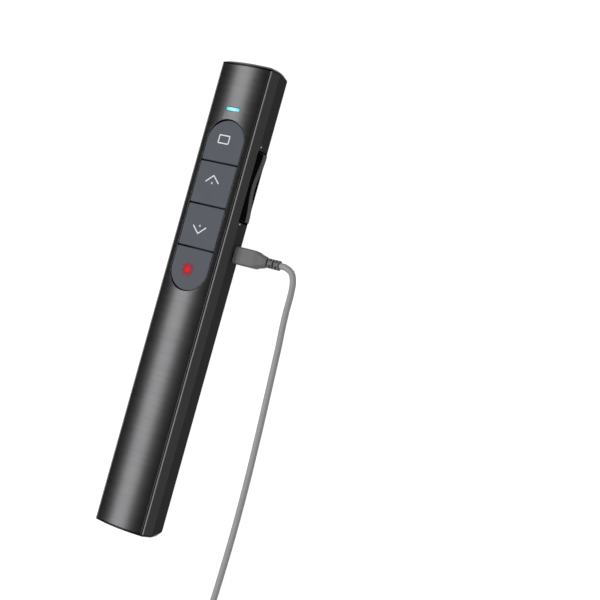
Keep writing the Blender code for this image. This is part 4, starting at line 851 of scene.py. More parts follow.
def make_finishes():
    """Every finish: colour, roughness, metallic and specular, then what varies over the surface."""
    streak = (60.0, 1.0, 60.0)
    cover = Finish("cover_metal", (0.080, 0.080, 0.082), 0.30, 1.0).rough(0.28, 0.32, 0.0007, 3.0, streak)
    cover.colours((0.076, 0.076, 0.078), (0.085, 0.085, 0.087), 0.0005, 2.0, streak)
    cover.bump(0.000002, 0.12, 0.00022, 2.0, streak)
    case = Finish("case_plastic", (0.078, 0.078, 0.079), 0.50, specular=0.02)
    case.rough(0.46, 0.54, 0.0015, 4.0).bump(0.000004, 0.3, 0.00008)
    # A darker finish for the case's downward faces: painted shade
    Finish("case_lower_painted_shade", (0.046, 0.046, 0.047), 0.60, specular=0.02).bump(0.000006, 0.4, 0.00012)
    # Near-black paint for the rocker's recess, the rocker's shaded faces and the relief's windows: painted
    # shade
    Finish("painted_recess_shade", (0.002, 0.002, 0.002), 0.70, specular=0.02).rough(0.65, 0.75, 0.001)
    Finish("bezel_black", (0.005, 0.005, 0.005), 0.30, specular=0.2).rough(0.26, 0.34, 0.002, 3.0)
    Finish("end_plate_grey", (0.050, 0.050, 0.052), 0.45).bump(0.000005, 0.4, 0.00009)
    # A lighter finish along the creases: a painted highlight
    Finish("painted_crease_highlight", (0.27, 0.27, 0.27), 0.45).rough(0.40, 0.50, 0.001)

    slate, ember = (0.103, 0.112, 0.132), (0.22, 0.034, 0.042)
    key = Finish("key_slate", slate, 0.55, specular=0.2).bump(0.000004, 0.3, 0.00007)
    key.colours([0.96 * c for c in slate], [1.04 * c for c in slate], 0.004, 3.0)
    spot = (MARK_X, LASER_MARK_Y, KEY_TOP_Z)
    # The laser key's slate is painted redder near its mark as a painted glow, and the printed core is given
    # light of its own
    laser_key = Finish("key_laser_slate", slate, 0.55, specular=0.2).bump(0.000004, 0.3, 0.00007)
    laser_key.blend(laser_key.fade(spot, LASER_GLOW_REACH), slate, ember)
    core = Finish("laser_core", (0.20, 0.0, 0.002), 0.5, specular=0.1)
    core.glow(0.80, (0.22, 0.02, 0.02), (1.0, 0.0, 0.006), core.fade(spot, LASER_CORE_HALF[1], 1.5))
    Finish("mark_red", (0.30, 0.020, 0.045), 0.5, specular=0.2).rough(0.45, 0.55, 0.0003)
    Finish("mark_white", (0.93, 0.94, 0.98), 0.5).rough(0.45, 0.55, 0.0003)
    Finish("mark_grey", (0.60, 0.61, 0.65), 0.5).rough(0.45, 0.55, 0.0003)
    lit = Finish("light_cyan", (0.02, 0.08, 0.10), 0.35)
    middle = lit.fade((0.0, LIGHT_Y, CASE_HEIGHT), LIGHT_HALF_LENGTH)
    lit.glow(1.0, (0.06, 0.66, 0.82), (0.42, 0.92, 1.00), middle)
    Finish("rocker_black", (0.022, 0.022, 0.022), 0.35, specular=0.3).rough(0.36, 0.44, 0.001, 3.0)

    Finish("clear_glass", (0.75, 0.75, 0.75), 0.05).feed({"Transmission Weight": 0.9})
    Finish("barrel_brass", (0.60, 0.44, 0.16), 0.30, 1.0).bump(0.000006, 0.5, 0.0002, 2.0, (1.0, 0.1, 1.0))
    Finish("plated_steel", (0.55, 0.55, 0.56), 0.28, 1.0).rough(0.28, 0.34, 0.0008, 3.0)
    Finish("contact_gold", (0.75, 0.52, 0.20), 0.25, 1.0).rough(0.20, 0.30, 0.0003)
    board = Finish("circuit_board", (0.010, 0.110, 0.045), 0.45)
    board.colours((0.008, 0.090, 0.036), (0.016, 0.140, 0.060), 0.0009, 0.0)
    Finish("chip_black", (0.015, 0.015, 0.016), 0.50).bump(0.000004, 0.4, 0.00006)
    Finish("white_plastic", (0.70, 0.70, 0.68), 0.45).bump(0.000004, 0.3, 0.00010)
    Finish("battery_foil", (0.42, 0.43, 0.45), 0.35, 0.8).bump(0.00004, 0.4, 0.002, 3.0)
    Finish("tape_amber", (0.50, 0.24, 0.03), 0.30).bump(0.00002, 0.4, 0.0008, 3.0)
    Finish("foam_grey", (0.10, 0.10, 0.11), 0.90).bump(0.0001, 0.6, 0.0003, 3.0)
    Finish("wire_red", (0.45, 0.020, 0.015), 0.45).bump(0.000006, 0.3, 0.0002)
    Finish("wire_black", (0.015, 0.015, 0.015), 0.45).bump(0.000006, 0.3, 0.0002)

    Finish("plug_grey", (0.178, 0.178, 0.180), 0.55, specular=0.3).bump(0.000004, 0.4, 0.00008)
    Finish("cord_grey", (0.400, 0.400, 0.403), 0.55, specular=0.3).bump(0.000006, 0.4, 0.00012)
    tie = Finish("tie_black", (0.018, 0.018, 0.018), 0.85, specular=0.1)
    tie.relief(tie.weave(0.00045), 0.00012, 0.8)


# Cover


class Opening(NamedTuple):
    """A round-cornered opening in the cover, as its rolled edge runs on the plan."""

    y: float
    half_x: float
    half_y: float
    corner: float
    steps: int

    def stations(self):
        """Places across the cover where the edge needs points."""
        angles = np.linspace(0, math.pi / 2, self.steps + 1)
        return [self.half_x - self.corner + (self.corner + COVER_EDGE_ROUND) * math.cos(a) for a in angles]

    def meets(self, x):
        """Whether the edge crosses station x."""
        return abs(x) <= self.half_x + COVER_EDGE_ROUND + LEAST_ROUND / 2

    def spot(self, x, side, held):
        """The point held back from the hole that rolls out to station x, on the side towards +Y or -Y."""
        straight = self.half_x - self.corner
        past = max(abs(x) - straight, 0.0)
        turn = math.acos(min(past / (self.corner + COVER_EDGE_ROUND), 1.0))
        bend = self.corner + held
        wide = math.copysign(straight + bend * math.cos(turn), x) if past else x
        return wide, self.y + side * (self.half_y - self.corner + bend * math.sin(turn))


class Border:
    """The cover's outer edge, in the same terms."""

    def stations(self):
        """The last places that the edge's long sides roll out from."""
        return [COVER_HALF - COVER_EDGE_ROUND]

    def meets(self, _):
        """The edge crosses every station."""
        return True

    def spot(self, x, side, held):
        """The point held back from the outside at station x."""
        at_side = abs(abs(x) - (COVER_HALF - COVER_EDGE_ROUND)) < LEAST_ROUND
        wide = math.copysign(COVER_HALF - held, x) if at_side else x
        return wide, side * ((HEAD if side > 0 else TAIL).shell - held)


def cover_under_z(x):
    """Height of the cover's underside: an arch between two skirts."""
    if abs(x) > COVER_SKIRT_X - COVER_SKIRT_SLOPE:
        return LEDGE_Z + GAP
    return arch_z(x, COVER_THICKNESS)


def cover_sheet(build, spots, order, count):
    """Fills the plan with strips along Y between the edges, named from -Y to +Y."""
    for index in range(count - 1):
        runs = [[key for key in order if (*key, index + step) in spots] for step in (0, 1)]
        shared = [key for key in runs[0] if key in runs[1]]
        for start, stop in zip(shared[0::2], shared[1::2]):
            chains = []
            for step, run in enumerate(runs):
                crossed = run[run.index(start) : run.index(stop) + 1]
                chains.append([spots[(*key, index + step)] for key in crossed])
            build.faces.new(chains[0] + chains[1][::-1])


def make_cover():
    """The arched cover with its key opening and light slot, every edge rolled."""
    strip_half = KEY_HALF_WIDTH + KEY_CLEARANCE
    slot_half = LIGHT_HALF_LENGTH + LIGHT_CLEARANCE
    edges = (
        Opening(KEY_ROW_Y, strip_half, KEY_ROW_HALF + KEY_CLEARANCE, strip_half, KEY_END_STEPS // 2),
        Opening(LIGHT_Y, slot_half, LIGHT_HALF_WIDTH + LIGHT_CLEARANCE, LIGHT_CLEARANCE, RIM_STEPS),
        Border(),
    )
    places = {COVER_SKIRT_X - COVER_SKIRT_SLOPE, COVER_SKIRT_X}
    half = [0.0]
    for x in sorted(places.union(*(edge.stations() for edge in edges))):
        if x - half[-1] > LEAST_ROUND:
            half.append(x)
    stations = [-x for x in half[:0:-1]] + half
    levels = [(True, *level) for level in roll(COVER_EDGE_ROUND)]
    levels += [(False, *level) for level in reversed(roll(COVER_EDGE_ROUND))]
    build = bmesh.new()
    layers = []
    for upper, depth, held in levels:
        spots = {}
        for number, edge in enumerate(edges):
            for side in (-1, 1):
                for index, station in enumerate(stations):
                    if edge.meets(station):
                        x, y = edge.spot(station, side, held)
                        z = arch_z(x) - depth if upper else cover_under_z(x) + depth
                        spots[(number, side, index)] = build.verts.new((x, y, z))
        layers.append(spots)
    border = len(edges) - 1
    order = [(border, -1), *((number, side) for number in range(border) for side in (-1, 1)), (border, 1)]
    for spots in (layers[0], layers[-1]):
        cover_sheet(build, spots, order, len(stations))
    for above, below in zip(layers, layers[1:]):
        for number in range(len(edges)):
            near = [key for key in above if key[:2] == (number, -1)]
            far = [key for key in above if key[:2] == (number, 1)]
            around = near + far[::-1]
            close_ring(build, [above[key] for key in around], [below[key] for key in around])
    add_piece("arched_cover", build, "cover_metal", "case", "top_cover")


# Case


def tray_outline():
    """The tray's section: floor, sides, rims and the ledges that the cover stands on."""
    corners = case_corners()
    crown = crown_arc(CREASE_X, 0.0)[1:-1]
    inner = inset([p for p, _ in corners] + crown, CASE_WALL)[: len(corners)]
    shoulder, knee = inner[-1], inner[-2]
    share = (LEDGE_Z - knee[1]) / (shoulder[1] - knee[1])
    ledge_x = knee[0] + share * (shoulder[0] - knee[0])
    rim_x = CREASE_X - RIM_WIDTH
    right = [((rim_x, arch_z(rim_x)), CREASE_ROUND), ((rim_x, LEDGE_Z), 0.0), ((ledge_x, LEDGE_Z), 0.0)]
    left = [((-x, z), radius) for (x, z), radius in reversed(right)]
    lining = [(p, r * LINING_ROUND_SHARE) for p, (_, r) in list(zip(inner, corners))[1:-1]]
    return rounded(corners + right + lining[::-1] + left)


def mouth(outline):
    """A tool along X that cuts a wall through and flares by a rounded edge where it comes out."""
    wall = CASE_HALF_WIDTH
    flare = rim(wall, 1, outline, MOUTH_ROUND, side=-1)
    inside = (wall - CASE_WALL - CUT_REACH, outline)
    return loft("X", [inside, *flare, (wall + CUT_REACH, inset(outline, -MOUTH_ROUND))])


def pin_bore():
    """A tool for the rocker pin's bore and its seats in the case."""
    bore = circle((ROCKER_PIN_X, ROCKER_Y), ROCKER_BORE_RADIUS, DOT_SEGMENTS)
    return prism("Z", bore, PIN_SEAT_FOOT_Z, PIN_SEAT_TOP_Z)


def make_case():
    """The tray with its recess, port and inner fittings; a painted highlight along its creases, painted shade
    in its recess and on its downward faces.
    """
    shell = prism("Y", tray_outline(), -TAIL.shell, HEAD.shell, SHELL_END_ROUND)
    for corner in shell.verts:
        end = HEAD if corner.co.y > 0 else TAIL
        corner.co = end.spot(corner.co.x, corner.co.z, abs(corner.co.y), 1.0, 0.0)
    recess = rounded_rectangle((ROCKER_Y, RECESS_Z), *RECESS_SIZE)
    port = circle((PLUG_Y, PLUG_Z), PORT_RADIUS, HOLE_SEGMENTS)
    room = inset([p for p, _ in case_corners()], CASE_WALL - FITTING_ROOT)
    room = [(x, min(z, LEDGE_Z - FITTING_ROOT)) for x, z in room]
    end_y = FITTINGS_END_Y - FITTING_ROOT
    fittings = worked(solid_of("bottom_case"), ("INTERSECT", prism("Y", room, -end_y, end_y)))
    shell = cut(shell, mouth(recess), mouth(port))
    shell = worked(shell, ("UNION", fittings), ("DIFFERENCE", pin_bore()))

    def paint(face):
        spot = face.calc_center_median()
        # The faces along the creases get the painted highlight
        if spot.z > CREASE_Z - CREASE_ROUND * 2 and abs(spot.x) > CREASE_X - RIM_WIDTH:
            return 1
        # Faces inside the rocker's recess get painted shade
        sunk = CASE_HALF_WIDTH - CASE_WALL - GAP < spot.x < CASE_HALF_WIDTH - MOUTH_ROUND / 2
        near = max(abs(v.co.y - ROCKER_Y) for v in face.verts) < RECESS_SIZE[0] + 2 * MOUTH_ROUND
        if sunk and near and abs(spot.z - RECESS_Z) < RECESS_SIZE[1] + MOUTH_ROUND:
            return 2
        # Faces that lean down get painted shade
        return 3 if face.normal.z < PAINTED_SHADE_NORMAL else 0

    finish = ("case_plastic", "painted_crease_highlight", "painted_recess_shade", "case_lower_painted_shade")
    add_piece("case_shell", shell, finish, "case", "bottom_case", paint=paint)
    low, high = CASE_HALF_WIDTH - MARK_RISE, CASE_HALF_WIDTH + MARK_RISE
    for number, y in enumerate(SIDE_DOTS_Y, 1):
        dot = circle((y, SIDE_DOT_Z), SIDE_DOT_RADIUS, DOT_SEGMENTS)
        add_piece(f"side_dot_{number}", prism("X", dot, low, high, MARK_RISE / 2), "mark_white", "case")


# Ends


def make_bezels():
    """Two black chamfered end rings; a spigot plugs into the case and a shelf backs the end plate."""
    small = BEZEL_EDGE_ROUND / 2
    for end in (HEAD, TAIL):
        seat = end.held + BEZEL_LIP
        profile = (
            # distance out, inset, round, roof, raked, tapered
            (end.flange, 0.0, small, CASE_HEIGHT, 1.0, 0.0),
            (end.chamfer, 0.0, BEZEL_EDGE_ROUND, CASE_HEIGHT, 1.0, 0.0),
            (CASE_HALF_LENGTH, end.held, BEZEL_EDGE_ROUND, CASE_HEIGHT, 0.0, 1.0),
            (CASE_HALF_LENGTH, seat, small, CASE_HEIGHT, 0.0, 1.0),
            (end.shelf, seat, 0.0, CASE_HEIGHT, 0.0, 1.0),
            (end.shelf, BEZEL_BORE_INSET, 0.0, BEZEL_BORE_ROOF_Z, 0.0, 0.0),
            (BEZEL_SPIGOT_Y, BEZEL_BORE_INSET, 0.0, BEZEL_BORE_ROOF_Z, 0.0, 0.0),
            (BEZEL_SPIGOT_Y, BEZEL_SPIGOT_INSET, 0.0, LEDGE_Z, 0.0, 0.0),
            (end.flange, BEZEL_SPIGOT_INSET, 0.0, LEDGE_Z, 1.0, 0.0),
        )
        corners = [((y, held), radius) for y, held, radius, *_ in profile]
        rings = []
        for run, (*_, roof, raked, tapered) in zip(fillet(corners, BEZEL_STEPS), profile):
            rings += [end.ring(y, held, roof, raked, tapered) for y, held in run]
        name = end.name + "_bezel"
        ring = skin(rings, closed=True)
        add_piece(name + "_ring", ring, "bezel_black", "case", name, sharp=BEZEL_SHARP_ANGLE)


def make_end_plates():
    """The grey plates with the laser's hole and the receiver's opening."""
    laser = circle((0.0, LASER_Z), LASER_HOLE_RADIUS, HOLE_SEGMENTS)
    bay = rounded_rectangle((0.0, RECEIVER_Z), *(size + GAP for size in RECEIVER_SIZE))
    for end, hole in ((HEAD, laser), (TAIL, bay)):
        held = end.held + BEZEL_LIP + PLATE_CLEARANCE
        rings = [end.ring(y, held, tapered=1.0) for y in (end.plate, PLATE_FAR_Y)]
        low, high = sorted((end.way * (end.plate - CUT_REACH), end.way * (PLATE_FAR_Y + CUT_REACH)))
        plate = cut(skin(rings), prism("Y", hole, low, high))
        name = end.name + "_end_plate"
        add_piece(name + "_face", plate, "end_plate_grey", "case", name, edge=PLATE_EDGE)


# Keys and light


def key_outline(index, reach, end_reach):
    """A key's outline from above, its free sides moved out by reach and its divided ends by end_reach."""
    start = KEY_ROW_Y - KEY_ROW_HALF + index * KEY_PITCH
    stop = start + KEY_PITCH - KEY_SPACING
    half = KEY_HALF_WIDTH + reach
    first = 0.0
    outline = []
    for way, y, free in ((1, stop, index == len(KEYS) - 1), (-1, start, not index)):
        if free:
            centre = (0.0, y - way * KEY_HALF_WIDTH)
            outline += arc(centre, half, first, first + math.pi, KEY_END_STEPS)
            first += math.pi
            continue
        for side in (way, -way):
            corner = (side * (half - KEY_CORNER), y + way * (end_reach - KEY_CORNER))
            outline += arc(corner, KEY_CORNER, first, first + math.pi / 2, ROUND_STEPS)
            first += math.pi / 2
    return outline


def make_keys():
    """Four key caps with rolled edges, each with the flange that the cover holds it in by."""
    for index, key in enumerate(KEYS):
        flange = key_outline(index, KEY_FLANGE_REACH, -KEY_FLANGE_INSET)
        stations = [(KEY_FLANGE_FOOT_Z, flange), (KEY_FLANGE_TOP_Z, flange)]
        stations.append((KEY_FLANGE_TOP_Z, key_outline(index, 0.0, 0.0)))
        for depth, held in reversed(roll(KEY_EDGE_ROUND, ROUND_STEPS)):
            stations.append((KEY_TOP_Z - depth, key_outline(index, -held, -held)))
        finish = "key_slate" if index else "key_laser_slate"
        add_piece(f"key_{key}_cap", loft("Z", stations), finish, f"{key}_key", f"key_{key}")


def make_light_bar():
    """The glowing bar, whose top follows the cover's arch, on its flange and leg."""
    outline = rounded_rectangle((0.0, LIGHT_Y), LIGHT_HALF_LENGTH, LIGHT_HALF_WIDTH, LIGHT_CORNER)
    rings = [[(x, y, LIGHT_FLANGE_TOP_Z - FITTING_ROOT) for x, y in outline]]
    for depth, held in reversed(roll(LIGHT_CORNER / 2)):
        rings.append([(x, y, arch_z(x) - LIGHT_RECESS - depth) for x, y in inset(outline, held)])
    foot = LIGHT_FLANGE_TOP_Z - LIGHT_FLANGE_THICKNESS
    flange = slab(0.0, LIGHT_Y, *LIGHT_FLANGE_HALF, foot, LIGHT_FLANGE_TOP_Z)
    leg = slab(0.0, LIGHT_Y, *LIGHT_LEG_HALF, LIGHT_LEG_FOOT_Z, foot + FITTING_ROOT)
    whole = worked(skin(rings, strips=True), ("UNION", flange), ("UNION", leg))
    add_piece("light_bar", whole, "light_cyan", "case", "light_pipe")


# Marks


def stroke_outline(points, width):
    """The outline of a bent line of even width."""
    spots = [Vector(p) for p in points]
    ways = [(b - a).normalized() for a, b in zip(spots, spots[1:])]
    left, right = [], []
    for spot, before, after in zip(spots, ways[:1] + ways, ways + ways[-1:]):
        along = (before + after).normalized()
        across = Vector((-along.y, along.x))
        stretch = width / 2 / across.dot(Vector((-before.y, before.x)))
        left.append(tuple(spot + across * stretch))
        right.append(tuple(spot - across * stretch))
    return right + left[::-1]


def printed(outline):
    """A mark's body, which stands a hair above the keys."""
    return prism("Z", outline, KEY_TOP_Z - MARK_RISE, KEY_TOP_Z + MARK_RISE)


def make_marks():
    """The signs printed on the keys: a screen, an arrow up, an arrow down and a red light with a painted glow
    at its core.
    """
    outer = rounded_rectangle((MARK_X, SCREEN_MARK_Y), *SCREEN_MARK_SIZE)
    screen = hoop("Z", outer, inset(outer, MARK_LINE), KEY_TOP_Z - MARK_RISE, KEY_TOP_Z + MARK_RISE)
    add_piece("screen_mark", screen, "mark_white", "screen_key")
    for name, tip, way in (("up", UP_ARROW_TIP_Y, -1), ("down", DOWN_ARROW_TIP_Y, 1)):
        body = f"page_{name}_key"
        foot = tip + way * ARROW_RISE
        line = ((MARK_X - ARROW_HALF_SPAN, foot), (MARK_X, tip), (MARK_X + ARROW_HALF_SPAN, foot))
        arrow = printed(stroke_outline(line, MARK_LINE))
        add_piece(name + "_arrow_mark", arrow, "mark_white", body)
        dot = circle((MARK_X, tip + way * ARROW_DOT_DROP), ARROW_DOT_RADIUS, DOT_SEGMENTS)
        add_piece(name + "_arrow_dot", printed(dot), "mark_grey", body)
    centre = Vector((MARK_X, LASER_MARK_Y))
    turn = Matrix.Rotation(LASER_MARK_TURN, 2)
    stretch = turn @ Matrix.Diagonal(LASER_CORE_HALF)
    oval = printed([centre + stretch @ Vector(p) for p in circle((0.0, 0.0), 1.0)])
    add_piece("laser_core_mark", oval, "laser_core", "laser_key")
    ring = [centre + turn @ Vector(p) for p in circle((0.0, 0.0), LASER_RING_RADIUS, LASER_SPOT_COUNT)]
    spots = [printed(circle(place, LASER_SPOT_RADIUS, DOT_SEGMENTS)) for place in ring]
    add_piece("laser_ring_mark", merged(*spots), "mark_red", "laser_key")


# Rocker


def rocker_ring(offset, held):
    """The rocker's section at an offset from its middle, moved inwards by held: a saddle with round ends."""
    crest = ROCKER_HALF_LENGTH - ROCKER_END_ROUND
    rise = ROCKER_RISE * eased(min(abs(offset) / crest, 1))
    past = max(abs(offset) - crest, 0.0) / ROCKER_END_ROUND
    drop = ROCKER_END_DROP * (1 - math.sqrt(max(1 - past**2, 0.0)))
    face = CASE_HALF_WIDTH - ROCKER_DIP + rise - drop
    corners = (
        ((ROCKER_BACK_X, ROCKER_TOP_Z), 0.0),
        ((ROCKER_BACK_X, ROCKER_FOOT_Z), 0.0),
        ((face, ROCKER_FOOT_Z), ROCKER_FOOT_ROUND),
        ((face, ROCKER_FACE_TOP_Z), ROCKER_FACE_ROUND),
        ((face - ROCKER_TOP_SLOPE, ROCKER_TOP_Z), ROCKER_TOP_ROUND),
    )
    points = inset([p for p, _ in corners], held)
    return rounded([(p, r) for p, (_, r) in zip(points, corners)], held)


def make_rocker():
    """The saddle-shaped rocker, with the solid's own lug and nubs on its back; its top slope, ends and lower
    band are painted with shade.
    """
    crest = ROCKER_HALF_LENGTH - ROCKER_END_ROUND
    past = ROCKER_END_ROUND - ROCKER_CAP_ROUND
    turns = np.linspace(0, math.pi / 2, ROCKER_END_STEPS + 1)[1:-1]
    offsets = [(t, 0.0) for t in np.linspace(0, crest, ROCKER_RINGS)]
    offsets += [(crest + past * math.sin(a), 0.0) for a in turns]
    offsets += [(ROCKER_HALF_LENGTH - depth, held) for depth, held in reversed(roll(ROCKER_CAP_ROUND))]
    both = [(-t, held) for t, held in offsets[:0:-1]] + offsets
    face = loft("Y", [(ROCKER_Y + t, rocker_ring(t, held)) for t, held in both])
    _, _, (x, y, z), half = box_of("volume_rocker")
    reach = [size + CUT_REACH for size in half]
    left, right = x - reach[0], ROCKER_BACK_X + FITTING_ROOT
    space = slab((left + right) / 2, y, (right - left) / 2, reach[1], z - reach[2], z + reach[2])
    back = worked(solid_of("volume_rocker"), ("INTERSECT", space))
    whole = worked(face, ("UNION", back), ("DIFFERENCE", pin_bore()))

    # The top slope, the ends and the lower band get painted shade
    def paint(part):
        spot = part.calc_center_median()
        slope = part.normal.z > ROCKER_SHADE_NORMAL and spot.z > ROCKER_FACE_TOP_Z
        end = abs(part.normal.y) > ROCKER_SHADE_NORMAL
        return 1 if slope or end or spot.z < ROCKER_SHADE_Z else 0

    finish = ("rocker_black", "painted_recess_shade")
    add_piece("rocker_face", whole, finish, "rocker", "volume_rocker", paint=paint)


# Receiver


def make_receiver():
    """The receiver's moulded end, with grooves for a fingernail in its face, and its connector."""
    outline = rounded_rectangle((0.0, RECEIVER_Z), *RECEIVER_SIZE, FINE_CORNER_STEPS)
    build = prism("Y", outline, RECEIVER_TAIL_Y, RECEIVER_BODY_END_Y, RECEIVER_EDGE_ROUND)
    low, high = RECEIVER_TAIL_Y - CUT_REACH, RECEIVER_TAIL_Y + RECEIVER_GROOVE_DEPTH
    grooves = []
    for x in spaced(RECEIVER_GROOVE_COUNT, RECEIVER_GROOVE_PITCH):
        grooves.append(prism("Y", rounded_rectangle((x, RECEIVER_Z), *RECEIVER_GROOVE_SIZE), low, high))
    add_piece("receiver_cap", cut(build, *grooves), "chip_black", "receiver", "receiver_body")
    make_connector("receiver", "receiver", 1)


def make_connector(name, body, way):
    """A flat plug's folded metal shell with its windows and seam, its tongue and the tongue's contacts."""
    low, high, (x, y, z), half = box_of(name + "_shell")
    root, tip = (low[1], high[1])[::way]
    outer = rounded_rectangle((x, z), *USB_SIZE)
    inner = inset(outer, USB_WALL)
    stations = [(root, outer), *rim(tip, way, outer, USB_MOUTH_ROUND)]
    stations += [*rim(tip, way, inner, USB_MOUTH_ROUND, side=-1)[::-1], (root, inner)]
    reach = USB_SIZE[1] + CUT_REACH
    cuts = []
    for side in (-1, 1):
        place = (x + side * USB_WINDOW_X, tip - way * USB_WINDOW_FROM_MOUTH)
        cuts.append(prism("Z", rounded_rectangle(place, *USB_WINDOW_SIZE), z - reach, z + reach))
    cuts.append(slab(x, y, USB_SEAM_HALF_WIDTH, half[1] + CUT_REACH, z - reach, z))
    shell = cut(loft("Y", stations, closed=True), *cuts)
    sheet = add_piece(name + "_shell_sheet", shell, "plated_steel", body, name + "_shell")
    low, high, middle, half = box_of(name + "_tongue")
    bar = slab(*middle[:2], *half[:2], low[2], high[2], USB_TONGUE_ROUND)
    tongue = add_piece(name + "_tongue_bar", bar, "white_plastic", body, name + "_tongue")
    long, wide, rise = USB_CONTACT_HALF_LENGTH, USB_CONTACT_HALF_WIDTH, USB_CONTACT_RISE
    y = (low[1], high[1])[::way][1] - way * (USB_CONTACT_END + long)
    strips = []
    for x_middle in spaced(USB_CONTACT_COUNT, USB_CONTACT_PITCH, x):
        strips.append(slab(x_middle, y, wide, long, high[2] - rise, high[2] + rise, rise / 2))
    contacts = add_piece(name + "_contacts", merged(*strips), "contact_gold", body)
    return [sheet, tongue, contacts]


# Board and battery


def make_chip_pins():
    """The chips' bent legs, standing on the board."""
    for name, count in CHIP_PINS.items():
        _, _, (x, y, _), (half, _, _) = box_of(name)
        bend = [
            (half - PIN_KNEE, PIN_SHOULDER_Z),
            (half + PIN_KNEE, PIN_SHOULDER_Z),
            (half + PIN_KNEE + PIN_THICKNESS, BOARD_TOP_Z + PIN_THICKNESS),
            (half + PIN_REACH, BOARD_TOP_Z + PIN_THICKNESS),
        ]
        outline = bend + [(u, v - PIN_THICKNESS) for u, v in reversed(bend)]
        legs = []
        for side in range(4):
            turn = Matrix.Translation((x, y, 0.0)) @ Matrix.Rotation(side * math.pi / 2, 4, "Z")
            for along in spaced(count, 2 * half / (count + 1)):
                legs.append(prism("Y", outline, along - PIN_HALF_WIDTH, along + PIN_HALF_WIDTH))
                legs[-1].transform(turn)
        add_piece(name + "_pins", merged(*legs), "plated_steel", "case")


def make_board_parts():
    """Small resistors and capacitors in two rows down each side of the board."""
    top = BOARD_TOP_Z + BOARD_PART_HEIGHT
    parts = []
    for x in BOARD_PARTS_X:
        for y in BOARD_PARTS_Y:
            parts.append(slab(x, y, *BOARD_PART_HALF, BOARD_TOP_Z, top, BOARD_PART_ROUND))

    def paint(face):
        spot = face.calc_center_median()
        return 1 if min(abs(x - spot.x) for x in BOARD_PARTS_X) > BOARD_PART_HALF[0] / 2 else 0

    add_piece("board_parts", merged(*parts), ("chip_black", "plated_steel"), "case", paint=paint)


def make_screws():
    """The board's screws, with a cross recess in each head."""
    for number in range(1, SCREW_COUNT + 1):
        name = f"board_screw_{number}"
        _, high, (x, y, _), _ = box_of(name)
        foot, top = high[2] - SCREW_SLOT_DEPTH, high[2] + CUT_REACH
        cross = [slab(x, y, *half, foot, top) for half in (SCREW_SLOT_HALF, SCREW_SLOT_HALF[::-1])]
        add_piece(name + "_cross", cut(solid_of(name), *cross), "plated_steel", "case", name)


def make_battery_parts():
    """A band of tape round the cell's head end, and the foam pad that it lies on."""
    _, high, (x, _, z), half = box_of("battery_cell")
    inner = rounded_rectangle((x, z), half[0], half[2], TAPE_CORNER)
    band = hoop("Y", inset(inner, -TAPE_THICKNESS), inner, high[1] - TAPE_LENGTH, high[1])
    add_piece("battery_tape", band, "tape_amber", "case")
    low, high, middle, half = box_of("battery_pad")
    outline = rounded_rectangle(middle, *half[:2], FOAM_CORNER)
    pad = prism("Z", outline, low[2], high[2], FOAM_EDGE)
    foam = add_piece("battery_foam", pad, "foam_grey", "case", "battery_pad")


# Lead


def plug_ring(half_y, half_z, corner, held=0.0):
    """A ring of the plug's moulding, moved inwards by held."""
    size = (half_y - held, half_z - held, corner - held)
    return rounded_rectangle((PLUG_Y, PLUG_Z), *size, FINE_CORNER_STEPS)


def relief_ring(bridge=None):
    """A ring of the strain relief: a rib all round, or, in a window, two bridges turned by an angle."""
    points = []
    for u, v in plug_ring(*RELIEF_SIZE):
        angle = math.atan2(v - PLUG_Z, u - PLUG_Y)
        radius = RELIEF_RIB_RADIUS
        if bridge is not None:
            away = abs((angle - bridge + math.pi / 2) % math.pi - math.pi / 2)
            radius = RELIEF_NECK_RADIUS if away < RELIEF_BRIDGE_ANGLE else RELIEF_RADIUS
        points.append((PLUG_Y + radius * math.cos(angle), PLUG_Z + radius * math.sin(angle)))
    return points


def make_charge_plug():
    """The moulded plug: a flange, a block, a taper and a strain relief with windows between its ribs, painted
    with shade.
    """
    groove, end, step = PLUG_FRONT_X + PLUG_FLANGE, PLUG_BLOCK_END_X, PLUG_GROOVE
    steps = [(PLUG_FRONT_X + depth, held) for depth, held in roll(PLUG_EDGE_ROUND)]
    steps += [(groove - step / 2, 0.0), (groove, step), (groove + step, step), (groove + step * 3 / 2, 0.0)]
    steps += [(end - step, 0.0), (end, step / 2), (end + step, step / 2)]
    stations = [(x, plug_ring(*PLUG_SIZE, held)) for x, held in steps]
    full = [size - step / 2 for size in PLUG_SIZE]
    neck = (RELIEF_NECK_RADIUS, RELIEF_NECK_RADIUS, RELIEF_NECK_RADIUS - JOINT_FLAT)
    start = end + step
    for share in np.linspace(0, 1, PLUG_TAPER_STEPS + 1)[1:]:
        ease = share + math.sin(2 * math.pi * share) * PLUG_TAPER_EASE
        sizes = [(1 - ease) * a + ease * b for a, b in zip(full, neck)]
        stations.append((start + (PLUG_TAPER_END_X - start) * share, plug_ring(*sizes)))
    for index in range(RELIEF_RIB_COUNT):
        x = PLUG_TAPER_END_X + index * RELIEF_RIB_PITCH
        ridge = x + RELIEF_RIB_PITCH - RELIEF_RIB_WIDTH
        window, rib = relief_ring(index % 2 * math.pi / 2), relief_ring()
        stations += [(x + RELIEF_SLOPE, window), (ridge - RELIEF_SLOPE, window)]
        stations += [(ridge, rib), (ridge + RELIEF_RIB_WIDTH - RELIEF_SLOPE, rib)]
    stations.append((PLUG_END_X, plug_ring(*RELIEF_SIZE)))

    # The windows between the relief's ribs get painted shade
    def paint(face):
        spot = face.calc_center_median()
        out = math.hypot(spot.y - PLUG_Y, spot.z - PLUG_Z)
        return 1 if spot.x > PLUG_TAPER_END_X and out < RELIEF_RADIUS + RELIEF_SLOPE else 0

    finish = ("plug_grey", "painted_recess_shade")
    build = loft("X", stations)
    return add_piece("charge_plug", build, finish, "charging_lead", "charge_plug_body", paint=paint)


